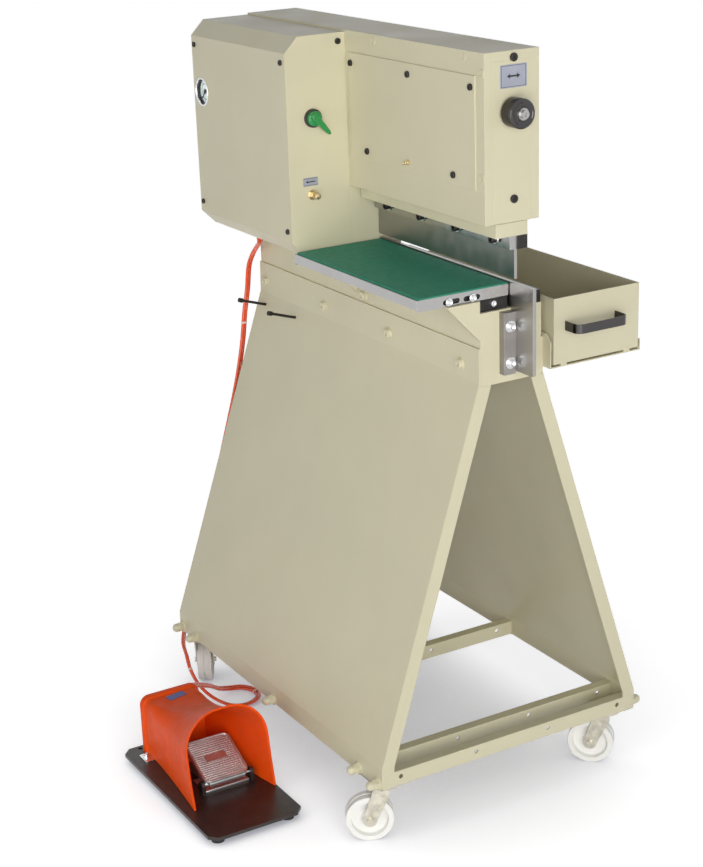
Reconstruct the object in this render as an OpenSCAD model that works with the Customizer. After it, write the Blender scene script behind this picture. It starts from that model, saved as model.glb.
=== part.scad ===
// Pneumatic blade depaneling machine on a castered stand, with a guarded foot pedal.
// X = 0 is the cutting plane, Y = 0 the front of the stand and Z = 0 the floor.
// Every piece is drawn there and moved as one, so that the origin ends under the middle.

/* [Stand] */
// Depth of the side panels at the foot
stand_depth = 748; // [680:1:820]
// Half of the width over the side panels at the foot
foot_half = 256; // [240:1:290]
// Half of the width over the side panels at the top
top_half = 60; // [58:1:64]
// Thickness of the sheet steel
sheet_t = 3; // [2:0.5:4]
// Height of the lower edge of the side panels
foot_z = 113; // [105:1:125]
// Height of the upright skirt of a side panel
skirt_h = 35; // [30:1:45]
// Height at which a side panel turns upright again
shoulder_z = 762; // [740:1:780]
// Height of the upright flange that is bolted to the base
flange_h = 56; // [50:1:60]
// Lean of the rear edge over the height of a panel
rear_lean = 36; // [20:1:45]
// Width of the folds along the front and rear edges
fold_w = 24; // [18:1:30]
// Height of a cross bar
bar_h = 26; // [22:1:30]
// Depth of the ledge of a cross bar
bar_ledge = 18; // [14:1:22]
// Distance between the two bars that carry a pair of casters
bar_pitch = 55; // [50:1:62]
// Distance of the middle bar from the front of the stand
middle_bar_y = 361; // [330:1:400]

/* [Casters] */
// Diameter of a wheel
wheel_d = 80; // [75:1:82]
// Width of a wheel
wheel_w = 27; // [22:1:28]
// Distance from the swivel axis to the wheel axis
trail = 26; // [22:1:30]
// Distance of a swivel axis from the end of the stand
caster_inset = 40; // [38:1:42]
// Distance of a swivel axis from the outside of the skirt
caster_side = 28; // [26:1:34]
// Length of a caster's top plate, along Y
caster_plate_l = 76; // [70:1:78]
// Thickness of a caster's top plate
caster_plate_t = 3; // [2.5:0.5:4]

/* [Base and column] */
// Depth of the base casting
base_depth = 712; // [700:1:720]
// Height of the base casting's lower face
base_z = 757; // [745:1:760]
// Thickness of the base floor under the lower blade
base_floor = 19; // [15:1:24]
// Height of the top of the base
base_top = 874; // [868:1:878]
// Thickness of the wall on the right of the scrap channel
base_wall = 13; // [10:1:16]
// Distance from the front to the column, which is the depth of the throat
throat = 385; // [384:1:400]

/* [Blades] */
// Thickness of the lower blade
lower_blade_t = 6; // [4:0.5:8]
// Height of the lower blade's edge
lower_edge_z = 915; // [914:0.5:916]
// Length by which the lower blade stands out at the front
lower_blade_nose = 57; // [40:1:57]
// Thickness of the upper blade
upper_blade_t = 5; // [4:0.5:6]
// Open gap between the two blades
blade_gap = 6; // [5.5:0.5:8]
// Height of the upper blade
upper_blade_h = 67; // [60:1:67]
// Length of the upper blade
upper_blade_l = 392; // [380:1:392]
// Thickness of the strip that clamps the upper blade
clamp_strip_t = 8; // [6:0.5:10]
// Height of the strip and of the blade holder
clamp_strip_h = 21; // [18:1:24]

/* [Table] */
// Width of the table
table_w = 165; // [150:1:165]
// Depth of the table
table_d = 375; // [360:1:376]
// Height of the table plate's top
table_z = 911; // [909:0.5:912]
// Thickness of the plate and of its turned-down edges
table_t = 3; // [2:0.5:3]
// Height of the front edge
table_edge_h = 18; // [16:0.5:18]
// Thickness of the mat
mat_t = 2; // [1.5:0.5:3]
// Length of a slot in the front edge
slot_l = 30; // [26:1:30]
// Height of a slot in the front edge
slot_h = 8; // [7:0.5:9]

/* [Head] */
// Height of the underside of the head
head_z = 1010; // [1005:1:1012]
// Height of the top of the head
head_top = 1264; // [1262:1:1290]
// Thickness of the head's plates
head_t = 14; // [12:1:15]
// Left face of the head
head_left = -54; // [-56:1:-54]
// Right face of the head
head_right = 44; // [44:1:48]
// Rear face of the head
head_rear = 722; // [715:1:730]
// Length by which the head stands out over the stand
head_front = 11; // [8:1:14]
// Length of the access cover
access_l = 362; // [340:1:368]
// Height of the access cover
access_h = 170; // [150:1:180]
// Thickness of the access cover
access_t = 2; // [1.5:0.5:3]

/* [Ram drive] */
// Stroke of the ram
ram_stroke = 5; // [4:0.5:5]
// Travel of the cam bar for one stroke
cam_travel = 40; // [40:1:42]
// Diameter of a cam pin
cam_pin_d = 12; // [10:0.5:13]
// Thickness of the cam bar
cam_t = 10; // [8:0.5:10]
// Height of the cam bar
cam_h = 40; // [36:1:42]
// Height of the axis of the cam bar, cylinder and gap screw
drive_z = 1175; // [1172:0.5:1178]
// Bore of the air cylinder
cylinder_bore = 50; // [46:1:50]
// Diameter of the piston rod
rod_d = 18; // [14:1:20]
// Diameter of the gap screw's thread
gap_screw_d = 16; // [14:1:16]
// Diameter of the gap knob
knob_d = 45; // [40:1:48]
// Length of the gap knob
knob_l = 29; // [24:1:34]

/* [Control box] */
// Width of the control box
box_w = 113; // [105:1:113]
// Height of the control box
box_h = 359; // [350:1:359]
// Height of its lower face
box_z = 902; // [900:1:902]
// Chamfer along its two outer edges
box_chamfer = 25; // [15:1:30]
// Thickness of its sheet
box_t = 2; // [1.5:0.5:3]
// Diameter of the pressure gauge
gauge_d = 48; // [44:1:50]
// Diameter of the selector's bezel
selector_d = 30; // [28:1:34]
// Length of the selector's lever
lever_l = 36; // [28:1:38]
// Diameter of the speed valve
valve_d = 15; // [13:1:17]

/* [Drawer] */
// Width of the drawer
drawer_w = 166; // [150:1:168]
// Length of the drawer
drawer_l = 387; // [340:1:390]
// Height of the drawer
drawer_h = 106; // [80:1:108]
// Thickness of the drawer's sheet
drawer_t = 1.5; // [1:0.25:2.5]
// Width of the strap handle
handle_w = 99; // [80:1:110]
// Reach of the strap handle
handle_reach = 34; // [28:1:34]
// Height of the strap
handle_h = 15; // [10:1:20]

/* [Foot pedal] */
// Width of the pedal's base plate
pedal_w = 176; // [172:1:176]
// Length of the pedal's base plate
pedal_l = 360; // [350:1:360]
// Thickness of the pedal's base plate
pedal_t = 6; // [5:0.5:8]
// Height of the rubber feet
pedal_foot_h = 12; // [10:0.5:14]
// Width of the guard's mouth
guard_w = 158; // [150:1:160]
// Height of the guard over the plate
guard_h = 162; // [150:1:170]
// Wall of the guard
guard_t = 4; // [3:0.5:5]
// Width of the treadle
treadle_w = 86; // [76:1:88]
// Length of the treadle
treadle_l = 105; // [95:1:110]
// Slope of the treadle at rest, in degrees
treadle_slope = 25; // [22:1:28]

/* [Hidden] */
$fn = 48;

// Clearances: a running fit on a radius, a gap between moving pieces, and a loose hole
run_fit = 0.06;
gap = 0.3;
loose = 0.2;
// A cutting tool reaches past the face it cuts by this much
past = 1;

// Colours of the finishes
cream = [0.83, 0.81, 0.68];
dark_steel = [0.25, 0.25, 0.26];
bright_steel = [0.72, 0.73, 0.75];
zinc = [0.66, 0.66, 0.62];
black = [0.12, 0.12, 0.12];
orange = [0.9, 0.35, 0.13];

// Side panel: slope of its middle stretch and the offset of its inner bends
slope_k = (foot_half - top_half) / (shoulder_z - foot_z - skirt_h);
slope_dx = sheet_t * sqrt(1 + slope_k * slope_k);
bend_dz = (slope_dx - sheet_t) / slope_k;
skirt_z = foot_z + skirt_h;
seam_z = shoulder_z + flange_h;
bar_z = foot_z;
bar_top = foot_z + bar_h;
inner_half = foot_half - sheet_t;

// Outside of a side panel at height z, and its rear edge
function panel_x(z) = foot_half - slope_k * max(0, z - skirt_z);
function panel_rear(z) = stand_depth - rear_lean * (z - foot_z) / (seam_z - foot_z);

// Casters
caster_x = foot_half - caster_side;
caster_rear_y = stand_depth - caster_inset;
caster_at = [[-caster_x, caster_inset], [caster_x, caster_inset],
             [-caster_x, caster_rear_y], [caster_x, caster_rear_y]];
caster_turn = [152, 135, 60, 120];
caster_plate_w = 2 * caster_side;
caster_bolt_dx = 22;
caster_bolt_dy = 27;
axle_r = 5;
cheek_t = 2.5;
hub_gap = 0.5;
hub_w = wheel_w + 1;
crown_r = 24;
crown_t = 5.5;
race_r = 22;
race_h = 6;
king_r = 6;
king_head_r = 9;
king_head_h = 2.2;
wheel_groove = 2;
wheel_chamfer = 1;
plate_z = foot_z - caster_plate_t;
race_z = plate_z - race_h;
crown_z = race_z - 0.5 - crown_t;

// Base, column and blades
base_half = top_half - sheet_t;
channel_z = base_z + base_floor;
throat_end = throat - 2;
left_mass_x = -base_half;
clamp_w = 22;
clamp_t = 13;
clamp_drop = 4;
clamp_below = 3;
ledge_t = 8;
gusset_reach = 58;
gusset_drop = 60;
table_under = table_z - table_edge_h;

// Table, which slides to the left over its slots
table_gap = 2;
table_y = 5;
table_x = -table_gap - table_w;
table_end = table_y + table_d;
lip_h = 15;
slot_z = table_z - 11;
slot_x = [-105.5, -68.5];
slot_screw_x = [-110, -67];
slot_screw_r = 2.5;
rest_w = 52.5;
rest_d = 20;
rest_x = -table_gap * 2 - rest_w;
rail_bar_x = -121;
rail_bar_w = 71;
rail_bar_h = table_edge_h - table_t - gap;

// Head and ram
head_in_left = head_left + head_t;
head_in_right = head_right - head_t;
drive_x = (head_in_left + head_in_right) / 2;
gib_t = 12;
ram_half = (head_in_right - head_in_left) / 2 - gib_t - 0.1;
ram_y = 8;
ram_end = throat - 6;
ram_top = head_z + 195;
nose_left = -35;
nose_right = 23;
nose_z = lower_edge_z + blade_gap + upper_blade_h;
holder_z = nose_z - clamp_strip_h;
nose_front = -head_front;
nose_end = throat - 4;
blade_front = nose_end + 2 - upper_blade_l;
cam_slot_w = cam_t + 2;
cam_y = 78;
cam_end = 455;
cam_pin_y = [150, 320];
cam_slot_fit = 0.08;
end_plate_in = head_t + 2 - head_front;
nut_r = 18.5;
nut_y = 21;
nut_l = 14;
dowel_r = 2.5;
dowel_drop = 14;
collar_r = 11;
collar_t = 4;
knob_bolt_r = 4;
cylinder_y = 480;
cylinder_end = 680;
cylinder_wall = 5;
piston_y = 600;
piston_t = 20;
rear_plate_in = head_rear - head_t;

// Control box
box_left = head_left - box_w;
box_top = box_z + box_h;
gauge_y = 692;
gauge_z = 1141;
gauge_flange = 2;
gauge_depth = 18;
dial_depth = 8;
needle_zero = 135;
selector_x = -120;
selector_z = 1129;
selector_turn = -48;
valve_x = -124.5;
valve_z = 1003.5;

// Drawer and cradle
drawer_x = 65;
drawer_front = -22;
drawer_z = 775;
runner_h = 3.7;
cradle_t = 2;
cradle_z = drawer_z - gap - runner_h - cradle_t;
cradle_x = top_half;
cradle_right = drawer_x + drawer_w + 6;
cradle_front = drawer_front + 2;
cradle_up = 55;
cradle_lip = 18;
handle_z = 828;
handle_x = 86;

// Foot pedal, which stands on the floor beside the stand
pedal_left = -490;
pedal_y = 160;
pedal_x = pedal_left + pedal_w / 2;
plate_top = pedal_foot_h + pedal_t;
guard_x = -394;
mouth_y = 278;
guard_rear_y = 452;
guard_rear_half = 53;
guard_rear_x = -401;
guard_block_d = 50;
guard_block_h = 106;
treadle_x = -388;
treadle_y = 304;
treadle_z = plate_top + 15;
treadle_t = 5;
treadle_pin_r = 3;
lug_t = 6;

// Bolts, nuts and screws
nut_tip = 22;
nut_at = [13, 74, 369, 677, 735];
nut_z = foot_z + 7;
leg_bolt_y = [50, 263, 476, 689];
leg_bolt_z = shoulder_z + 22;
bar_hole_x = [73, 220];
bar_hole_r = 4;
bar_hole_z = foot_z + 15;

// Air hose: where its middle line runs, from the control box to the pedal
hose_d = 12;
hose_route = [
    [-84, 664, 888], [-81, 668, 874], [-75, 680, 862], [-70, 700, 850], [-69, 722, 830],
    [-70, 738, 804], [-72, 745, 760], [-80, 746, 715], [-87, 749, 655], [-104, 751, 575],
    [-134, 753, 470], [-170, 756, 350], [-202, 758, 240], [-222, 762, 160], [-230, 764, 122],
    [-244, 756, 101], [-266, 718, 92], [-277, 682, 84], [-283, 655, 67], [-278, 632, 43],
    [-262, 608, 22], [-236, 586, 8], [-206, 576, 6], [-178, 588, 6], [-168, 614, 6],
    [-182, 640, 7], [-208, 646, 10], [-236, 636, 22], [-264, 616, 44], [-296, 594, 64],
    [-326, 568, 82], [-350, 541, 97], [-364, 524, 105], [-370, 512, 108]];
hose_sides = 10;
hose_steps = 2;
fitting_r = 9;
fitting_l = 10;

// Middle of the whole object, which becomes the origin
rear_reach = caster_rear_y + (trail + wheel_d / 2) * sin(60) + (wheel_w / 2 - wheel_chamfer) * cos(60);
centre_x = (pedal_left + foot_half + nut_tip) / 2;
centre_y = (rear_reach - lower_blade_nose) / 2;

// A box between two corners
module block(a, b) {
    translate(a) cube(b - a);
}

// Outline in X and Z, extruded from y0 to y1
module plate_xz(y0, y1) {
    translate([0, y1, 0]) rotate([90, 0, 0]) linear_extrude(y1 - y0) children();
}

// Outline in Y and Z, extruded from x0 to x1
module plate_yz(x0, x1) {
    translate([x0, 0, 0]) rotate([90, 0, 90]) linear_extrude(x1 - x0) children();
}

// Round bar along X or Y from a to b
module bar_x(r, a, b) {
    translate([a, 0, 0]) rotate([0, 90, 0]) cylinder(h = b - a, r = r);
}

module bar_y(r, a, b) {
    translate([0, a, 0]) rotate([-90, 0, 0]) cylinder(h = b - a, r = r);
}

// Socket head that stands on its seat along +Z, with a hexagon recess
module socket_head(r, h) {
    difference() {
        cylinder(h = h, r = r);
        translate([0, 0, h / 2]) cylinder(h = h, r = r * 0.55, $fn = 6);
    }
}

// The same head, seated on a face that looks along -X, -Y or +Z
module head_left_of(r, h) {
    rotate([0, -90, 0]) socket_head(r, h);
}

module head_front_of(r, h) {
    rotate([90, 0, 0]) socket_head(r, h);
}

// Folded side panel of the right-hand side
module leg_panel() {
    intersection() {
        union() {
            plate_xz(0, stand_depth) polygon([
                [top_half, seam_z], [top_half, shoulder_z], [foot_half, skirt_z],
                [foot_half, foot_z], [inner_half, foot_z], [inner_half, skirt_z - bend_dz],
                [top_half - sheet_t, shoulder_z - bend_dz], [top_half - sheet_t, seam_z]]);
            plate_xz(0, sheet_t) panel_fold();
            intersection() {
                plate_xz(0, stand_depth + 2 * past) panel_fold();
                plate_yz(0, foot_half) polygon([
                    [panel_rear(foot_z) - sheet_t, foot_z], [panel_rear(foot_z) + past, foot_z],
                    [panel_rear(seam_z) + past, seam_z], [panel_rear(seam_z) - sheet_t, seam_z]]);
            }
        }
        plate_yz(0, foot_half + past) polygon([
            [-past, foot_z - past], [panel_rear(foot_z - past), foot_z - past],
            [panel_rear(seam_z + past), seam_z + past], [-past, seam_z + past]]);
    }
}

// Fold along an edge of a side panel, between the cross bar and the base
module panel_fold() {
    outer = sheet_t / 2;
    polygon([
        [foot_half - outer, bar_top], [foot_half - outer, skirt_z - bend_dz / 2],
        [panel_x(base_z) - slope_dx / 2, base_z], [panel_x(base_z) - fold_w, base_z],
        [foot_half - fold_w, skirt_z], [foot_half - fold_w, bar_top]]);
}

module left_leg_panel() {
    color(cream) mirror([1, 0, 0]) leg_panel();
}

module right_leg_panel() {
    color(cream) leg_panel();
}

// Angle bar across the stand: its face at y = 0 and its ledge towards +Y
module angle_bar() {
    difference() {
        union() {
            block([-inner_half, 0, bar_z], [inner_half, sheet_t, bar_top]);
            block([-inner_half, 0, bar_top - sheet_t], [inner_half, bar_ledge, bar_top]);
        }
        for (side = [-1, 1], x = bar_hole_x)
            translate([side * x, 0, bar_hole_z]) bar_y(bar_hole_r, -past, sheet_t + past);
    }
}

// Pads under the ledges of a pair of bars, to which the casters are bolted
module caster_pads() {
    pad_x = foot_half - caster_plate_w;
    for (side = [0, 1]) mirror([side, 0, 0])
        block([pad_x, sheet_t, bar_z], [inner_half, bar_pitch, bar_z + sheet_t]);
}

module cross_bars() {
    color(cream) {
        for (y = [0, bar_pitch, middle_bar_y]) translate([0, y, 0]) angle_bar();
        for (y = [0, bar_pitch]) translate([0, stand_depth - y, 0]) mirror([0, 1, 0]) angle_bar();
        caster_pads();
        translate([0, stand_depth, 0]) mirror([0, 1, 0]) caster_pads();
    }
}

// Dome nut on its washer, which stands on its seat along +Z
module dome_nut() {
    washer_h = 2;
    hex_h = 9;
    dome_r = 8;
    cylinder(h = washer_h, r = 11);
    cylinder(h = washer_h + hex_h, r = 9.5, $fn = 6);
    cylinder(h = nut_tip - dome_r, r = dome_r);
    translate([0, 0, nut_tip - dome_r]) sphere(r = dome_r);
}

// Flush screw in a ring, which stands a little out of a plate on the left
module ring_screw() {
    rotate([0, -90, 0]) difference() {
        cylinder(h = 1, r = 7);
        translate([0, 0, 0.5]) cylinder(h = 1, r = 5);
    }
}

module painted_bolts() {
    bolt_r = 8;
    bolt_h = 7;
    color(cream) {
        for (side = [0, 1], y = nut_at) mirror([side, 0, 0])
            translate([foot_half, y, nut_z]) rotate([0, 90, 0]) dome_nut();
        for (y = leg_bolt_y) translate([-top_half, y, leg_bolt_z]) rotate([0, -90, 0]) {
            cylinder(h = bolt_h, r = bolt_r, $fn = 6);
            cylinder(h = 1.5, r = bolt_r + 1.5);
        }
        translate([-base_half, 343, seam_z + 12]) rotate([0, -90, 0]) cylinder(h = bolt_h, r = 7);
        for (at = [[297, head_top - 10], [42, head_top - 10], [-3, head_top - 30], [-3, head_z + 70]])
            translate([head_left, at[0], at[1]]) ring_screw();
    }
}

// Top plate with its bearing race, which the king pin turns in
module caster_top_plates() {
    color(zinc) for (at = caster_at) translate([at[0], at[1], 0]) difference() {
        union() {
            translate([0, 0, plate_z + caster_plate_t / 2])
                cube([caster_plate_w, caster_plate_l, caster_plate_t], center = true);
            translate([0, 0, race_z]) cylinder(h = race_h, r = race_r);
        }
        translate([0, 0, race_z - past]) cylinder(h = race_h + 2 * past, r = king_r + run_fit);
        translate([0, 0, plate_z]) cylinder(h = caster_plate_t + past, r = king_head_r + gap);
    }
}

// Turns what is drawn with its trail along +X to a caster's place and rest direction
module at_caster(i) {
    translate([caster_at[i][0], caster_at[i][1], 0]) rotate([0, 0, caster_turn[i]]) children();
}

module caster_fork(i) {
    inner = hub_w / 2 + hub_gap;
    axle_z = wheel_d / 2;
    boss_r = 12;
    cheek_top = trail - 8;
    color(zinc) at_caster(i) {
        translate([0, 0, crown_z]) cylinder(h = crown_t, r = crown_r);
        translate([0, 0, crown_z]) cylinder(h = plate_z + gap - crown_z, r = king_r);
        translate([0, 0, plate_z + gap]) cylinder(h = king_head_h, r = king_head_r);
        block([-8, -inner - cheek_t, crown_z], [cheek_top, inner + cheek_t, crown_z + 3]);
        for (side = [-1, 1]) translate([0, side * (inner + cheek_t / 2), 0])
            plate_xz(-cheek_t / 2, cheek_t / 2) {
                polygon([[-8, crown_z + 3], [cheek_top, crown_z + 3], [trail + boss_r, axle_z],
                         [trail - boss_r, axle_z], [-8, crown_z - 12]]);
                translate([trail, axle_z]) circle(r = boss_r);
            }
        translate([trail, 0, axle_z]) {
            bar_y(axle_r, -inner - cheek_t - 4, inner + cheek_t + 4);
        }
    }
}

module caster_wheel(i) {
    r = wheel_d / 2;
    half = wheel_w / 2;
    rim_t = 9;
    hub_r = 12;
    web_half = 4;
    color("white") at_caster(i) translate([trail, 0, r]) rotate([90, 0, 0]) rotate_extrude()
        polygon([
            [axle_r + run_fit, -hub_w / 2], [hub_r, -hub_w / 2], [hub_r + 2, -web_half],
            [r - rim_t - 1, -web_half], [r - rim_t, -half], [r - wheel_chamfer, -half],
            [r, wheel_chamfer - half], [r, -wheel_groove], [r - wheel_groove, -1],
            [r - wheel_groove, 1], [r, wheel_groove], [r, half - wheel_chamfer],
            [r - wheel_chamfer, half], [r - rim_t, half], [r - rim_t - 1, web_half],
            [hub_r + 2, web_half], [hub_r, hub_w / 2], [axle_r + run_fit, hub_w / 2]]);
}

// Base casting: floor, left mass under the table, right wall and the block under the column
module base_casting() {
    color(cream) {
        block([-base_half, 0, base_z], [base_half, base_depth, channel_z]);
        block([-base_half, 0, base_z], [0, base_depth, base_top]);
        block([base_half - base_wall, 0, base_z], [base_half, base_depth, base_top]);
        block([-base_half, throat, base_z], [base_half, base_depth, base_top]);
        for (y = [0, table_end - ledge_t - 10]) plate_xz(y, y + ledge_t) polygon([
            [-base_half - gusset_reach, table_under], [-base_half - gusset_reach, table_under - 3],
            [-base_half, table_under - 3 - gusset_drop], [-base_half, table_under]]);
    }
}

module rear_column() {
    color(cream) block([head_left, throat, base_top], [head_right, head_rear, head_z]);
}

module lower_blade() {
    corner = 3;
    color(bright_steel) plate_yz(0, lower_blade_t) polygon([
        [-lower_blade_nose, channel_z + corner], [-lower_blade_nose + corner, channel_z],
        [throat_end, channel_z], [throat_end, lower_edge_z], [-lower_blade_nose, lower_edge_z]]);
}

module lower_clamp_block() {
    color(bright_steel) block([-clamp_w, -clamp_t, channel_z - clamp_drop],
                       [0, 0, base_top - clamp_below]);
}

// Rests under the table, the bars that its slots slide on, and the rest right of the blade
module table_blocks() {
    bar_d = 14;
    front_bar = table_y + table_t + gap;
    rear_bar = table_end - table_t - gap - bar_d;
    color(black) {
        for (y = [table_y, table_end - rest_d - 5])
            block([rest_x, y, base_top], [rest_x + rest_w, y + rest_d, table_under]);
        for (y = [front_bar, rear_bar])
            block([rail_bar_x, y, table_under],
                  [rail_bar_x + rail_bar_w, y + bar_d, table_under + rail_bar_h]);
        block([base_half - base_wall, 0, base_top],
              [base_half - 2, throat_end - 8, table_under + 1]);
    }
}

module table_plate() {
    edge_z = table_under + gap;
    color(bright_steel) difference() {
        union() {
            block([table_x, table_y, table_z - table_t], [-table_gap, table_end, table_z]);
            block([table_x, table_y, edge_z], [-table_gap, table_y + table_t, table_z]);
            block([table_x, table_end - table_t, edge_z], [-table_gap, table_end, table_z]);
            block([table_x, table_y, table_z - lip_h], [table_x + table_t, table_end, table_z]);
        }
        for (x = slot_x) translate([x, 0, slot_z]) {
            run = slot_l - slot_h;
            for (dx = [-run / 2, run / 2]) translate([dx, 0, 0])
                bar_y(slot_h / 2, table_y - past, table_y + table_t + past);
            block([-run / 2, table_y - past, -slot_h / 2],
                  [run / 2, table_y + table_t + past, slot_h / 2]);
        }
    }
}

module table_mat() {
    inset = 5;
    color([0.18, 0.55, 0.43])
        block([table_x + inset, table_y + 1, table_z], [-table_gap, table_end - 1, table_z + mat_t]);
}

module head_left_plate() {
    color(cream) block([head_left, -head_front, head_z], [head_in_left, head_rear, head_top]);
}

module head_right_plate() {
    color(cream) block([head_in_right, -head_front, head_z], [head_right, head_rear, head_top]);
}

module head_top_plate() {
    color(cream) block([head_in_left, -head_front, head_top - head_t],
                       [head_in_right, head_rear, head_top]);
}

// Front plate, with the bore of the gap screw and the dowel that keeps the nut from turning
module head_end_plate() {
    color(cream) {
        difference() {
            block([head_in_left, -head_front, head_z],
                  [head_in_right, end_plate_in, head_top - head_t]);
            translate([drive_x, 0, drive_z])
                bar_y(gap_screw_d / 2 + run_fit, -head_front - past, end_plate_in + past);
        }
        translate([drive_x, 0, drive_z - dowel_drop])
            bar_y(dowel_r, end_plate_in - past, nut_y + nut_l + 2);
    }
}

module head_rear_plate() {
    color(cream) block([head_in_left, rear_plate_in, head_z],
                       [head_in_right, head_rear, head_top - head_t]);
}

module access_cover() {
    y = 11;
    z = 1060;
    color(cream) block([head_left - access_t, y, z], [head_left, y + access_l, z + access_h]);
}

// Dark screws of the fixed pieces, and the two posts that the hose can hang on
module socket_screws() {
    color(black) {
        for (at = [[365, 1213], [193, 1213], [21, 1213], [320, 1076], [69, 1076]])
            translate([head_left - access_t, at[0], at[1]]) head_left_of(5, 4);
        for (at = [[drive_x + 3, head_top - head_t / 2 - 3], [drive_x + 3, head_z + 35]])
            translate([at[0], -head_front, at[1]]) head_front_of(6, 5);
        for (y = [398, 711], z = [box_z + 43, box_top - 40])
            translate([box_left, y, z]) head_left_of(4, 3);
        for (z = [channel_z + 15, base_top - 25]) translate([-10, -clamp_t, z]) {
            rotate([90, 0, 0]) cylinder(h = 1.5, r = 9);
            translate([0, -1.5, 0]) head_front_of(6, 6);
        }
        translate([-30, table_y, table_under - 8]) head_front_of(5, 4);
        for (x = slot_screw_x) translate([x, table_y - gap, slot_z]) {
            head_front_of(5.5, 5);
            bar_y(slot_screw_r, 0, table_t + 2 * gap);
        }
        for (y = [573, 685]) hanger_post(y);
    }
}

// Long screw square to the left side panel
module hanger_post(y) {
    z = 742;
    shank_l = 50;
    translate([-panel_x(z), y, z]) rotate([0, -90 + atan(slope_k), 0]) {
        cylinder(h = shank_l, r = 2.5);
        translate([0, 0, shank_l]) socket_head(4.25, 8);
    }
}

module gap_knob() {
    r = knob_d / 2;
    rear = -head_front - gap;
    color(black) translate([drive_x, rear, drive_z]) rotate([90, 0, 0]) rotate_extrude()
        polygon([[knob_bolt_r + loose, 0], [r - 4, 0], [r - 4, 3], [r, 5], [r, knob_l - 2],
                 [r - 2, knob_l], [knob_bolt_r + loose, knob_l]]);
}

// Screw turned by the knob: bolt head, washer, neck, shaft, collar and thread in one turning
module gap_screw() {
    r = gap_screw_d / 2;
    rear = -head_front - gap;
    front = rear - knob_l;
    collar_y = end_plate_in + gap;
    color(bright_steel) translate([drive_x, 0, drive_z]) {
        bar_y(r, rear, nut_y + nut_l + 1);
        bar_y(knob_bolt_r, front, rear + past);
        bar_y(9, front - 1, front);
        translate([0, front - 1, 0]) rotate([90, 0, 0]) socket_head(6.5, 5);
        bar_y(collar_r, collar_y, collar_y + collar_t);
    }
}

// Stop for the cam bar, which the gap screw moves to set how far the blades close
module stop_nut() {
    color(bright_steel) translate([drive_x, 0, drive_z]) difference() {
        bar_y(nut_r, nut_y, nut_y + nut_l);
        bar_y(gap_screw_d / 2 + run_fit, nut_y - past, nut_y + nut_l + past);
        translate([0, 0, -dowel_drop]) bar_y(dowel_r + run_fit, nut_y - past, nut_y + nut_l + past);
    }
}

// Ram: body between the gibs, slotted for the cam bar, over the nose that carries the blade
module ram() {
    slot_floor = drive_z - cam_h / 2 - ram_stroke - 5;
    pin_r = cam_pin_d / 2;
    color(cream) difference() {
        union() {
            block([drive_x - ram_half, ram_y, nose_z], [drive_x + ram_half, ram_end, ram_top]);
            block([nose_left, nose_front, nose_z], [nose_right, nose_end, head_z - 0.5]);
        }
        block([drive_x - cam_slot_w / 2, ram_y - past, slot_floor],
              [drive_x + cam_slot_w / 2, ram_end + past, ram_top + past]);
        block([drive_x - ram_half - past, ram_y - past, drive_z - nut_r - 3],
              [drive_x + ram_half + past, nut_y + nut_l + 10, ram_top + past]);
        for (y = cam_pin_y) translate([0, y, drive_z]) bar_x(pin_r, drive_x - 60, drive_x + 60);
    }
}

module cam_pins() {
    color(bright_steel) for (y = cam_pin_y) translate([0, y, drive_z])
        bar_x(cam_pin_d / 2, drive_x - ram_half, drive_x + ram_half);
}

// Gibs on both sides of the ram, and the rail that takes the thrust of the cam bar
module ram_guides() {
    gib_top = ram_top + 15;
    color(dark_steel) {
        block([head_in_left, ram_y, head_z], [head_in_left + gib_t, ram_end, gib_top]);
        block([head_in_right - gib_t, ram_y, head_z], [head_in_right, ram_end, gib_top]);
        block([drive_x - cam_t / 2, nut_y + nut_l + 15, drive_z + cam_h / 2 + 0.1],
              [drive_x + cam_t / 2, cam_end, head_top - head_t]);
    }
}

// Bar with one inclined slot per pin: as it travels forwards, the pins are driven down
module cam_bar() {
    r = cam_pin_d / 2 + cam_slot_fit;
    run = sqrt(cam_travel * cam_travel + ram_stroke * ram_stroke);
    color(dark_steel) translate([drive_x, 0, drive_z]) difference() {
        block([-cam_t / 2, cam_y, -cam_h / 2], [cam_t / 2, cam_end, cam_h / 2]);
        for (y = cam_pin_y) translate([0, y, 0]) rotate([-atan(ram_stroke / cam_travel), 0, 0]) {
            bar_x(r, -cam_t, cam_t);
            block([-cam_t, 0, -r], [cam_t, run, r]);
            translate([0, run, 0]) bar_x(r, -cam_t, cam_t);
        }
    }
}

module blade_holder() {
    color(dark_steel) block([upper_blade_t, nose_front, holder_z], [nose_right, nose_end, nose_z]);
}

module upper_blade() {
    edge_z = lower_edge_z + blade_gap;
    color(bright_steel) plate_yz(0, upper_blade_t) polygon([
        [blade_front, edge_z], [blade_front + upper_blade_l, edge_z],
        [blade_front + upper_blade_l, nose_z], [blade_front, nose_z]]);
}

module blade_clamp_strip() {
    color(bright_steel) block([-clamp_strip_t, nose_front + 2, holder_z], [0, nose_end, nose_z]);
}

// Four screws, each with its washer, that hold the strip
module blade_screws() {
    first = 30;
    pitch = 102;
    color(black) for (i = [0:3])
        translate([-clamp_strip_t, first + i * pitch, holder_z + clamp_strip_h / 2]) {
            rotate([0, -90, 0]) cylinder(h = 1.5, r = 8.5);
            translate([-1.5, 0, 0]) head_left_of(6, 8);
        }
}

// Outline of the control box from the side, grown by d: the two outer edges are chamfered
module box_outline(d, right) {
    c = box_chamfer;
    polygon([
        [right, box_z - d], [box_left + c, box_z - d], [box_left - d, box_z + c],
        [box_left - d, box_top - c], [box_left + c, box_top + d], [right, box_top + d]]);
}

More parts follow.
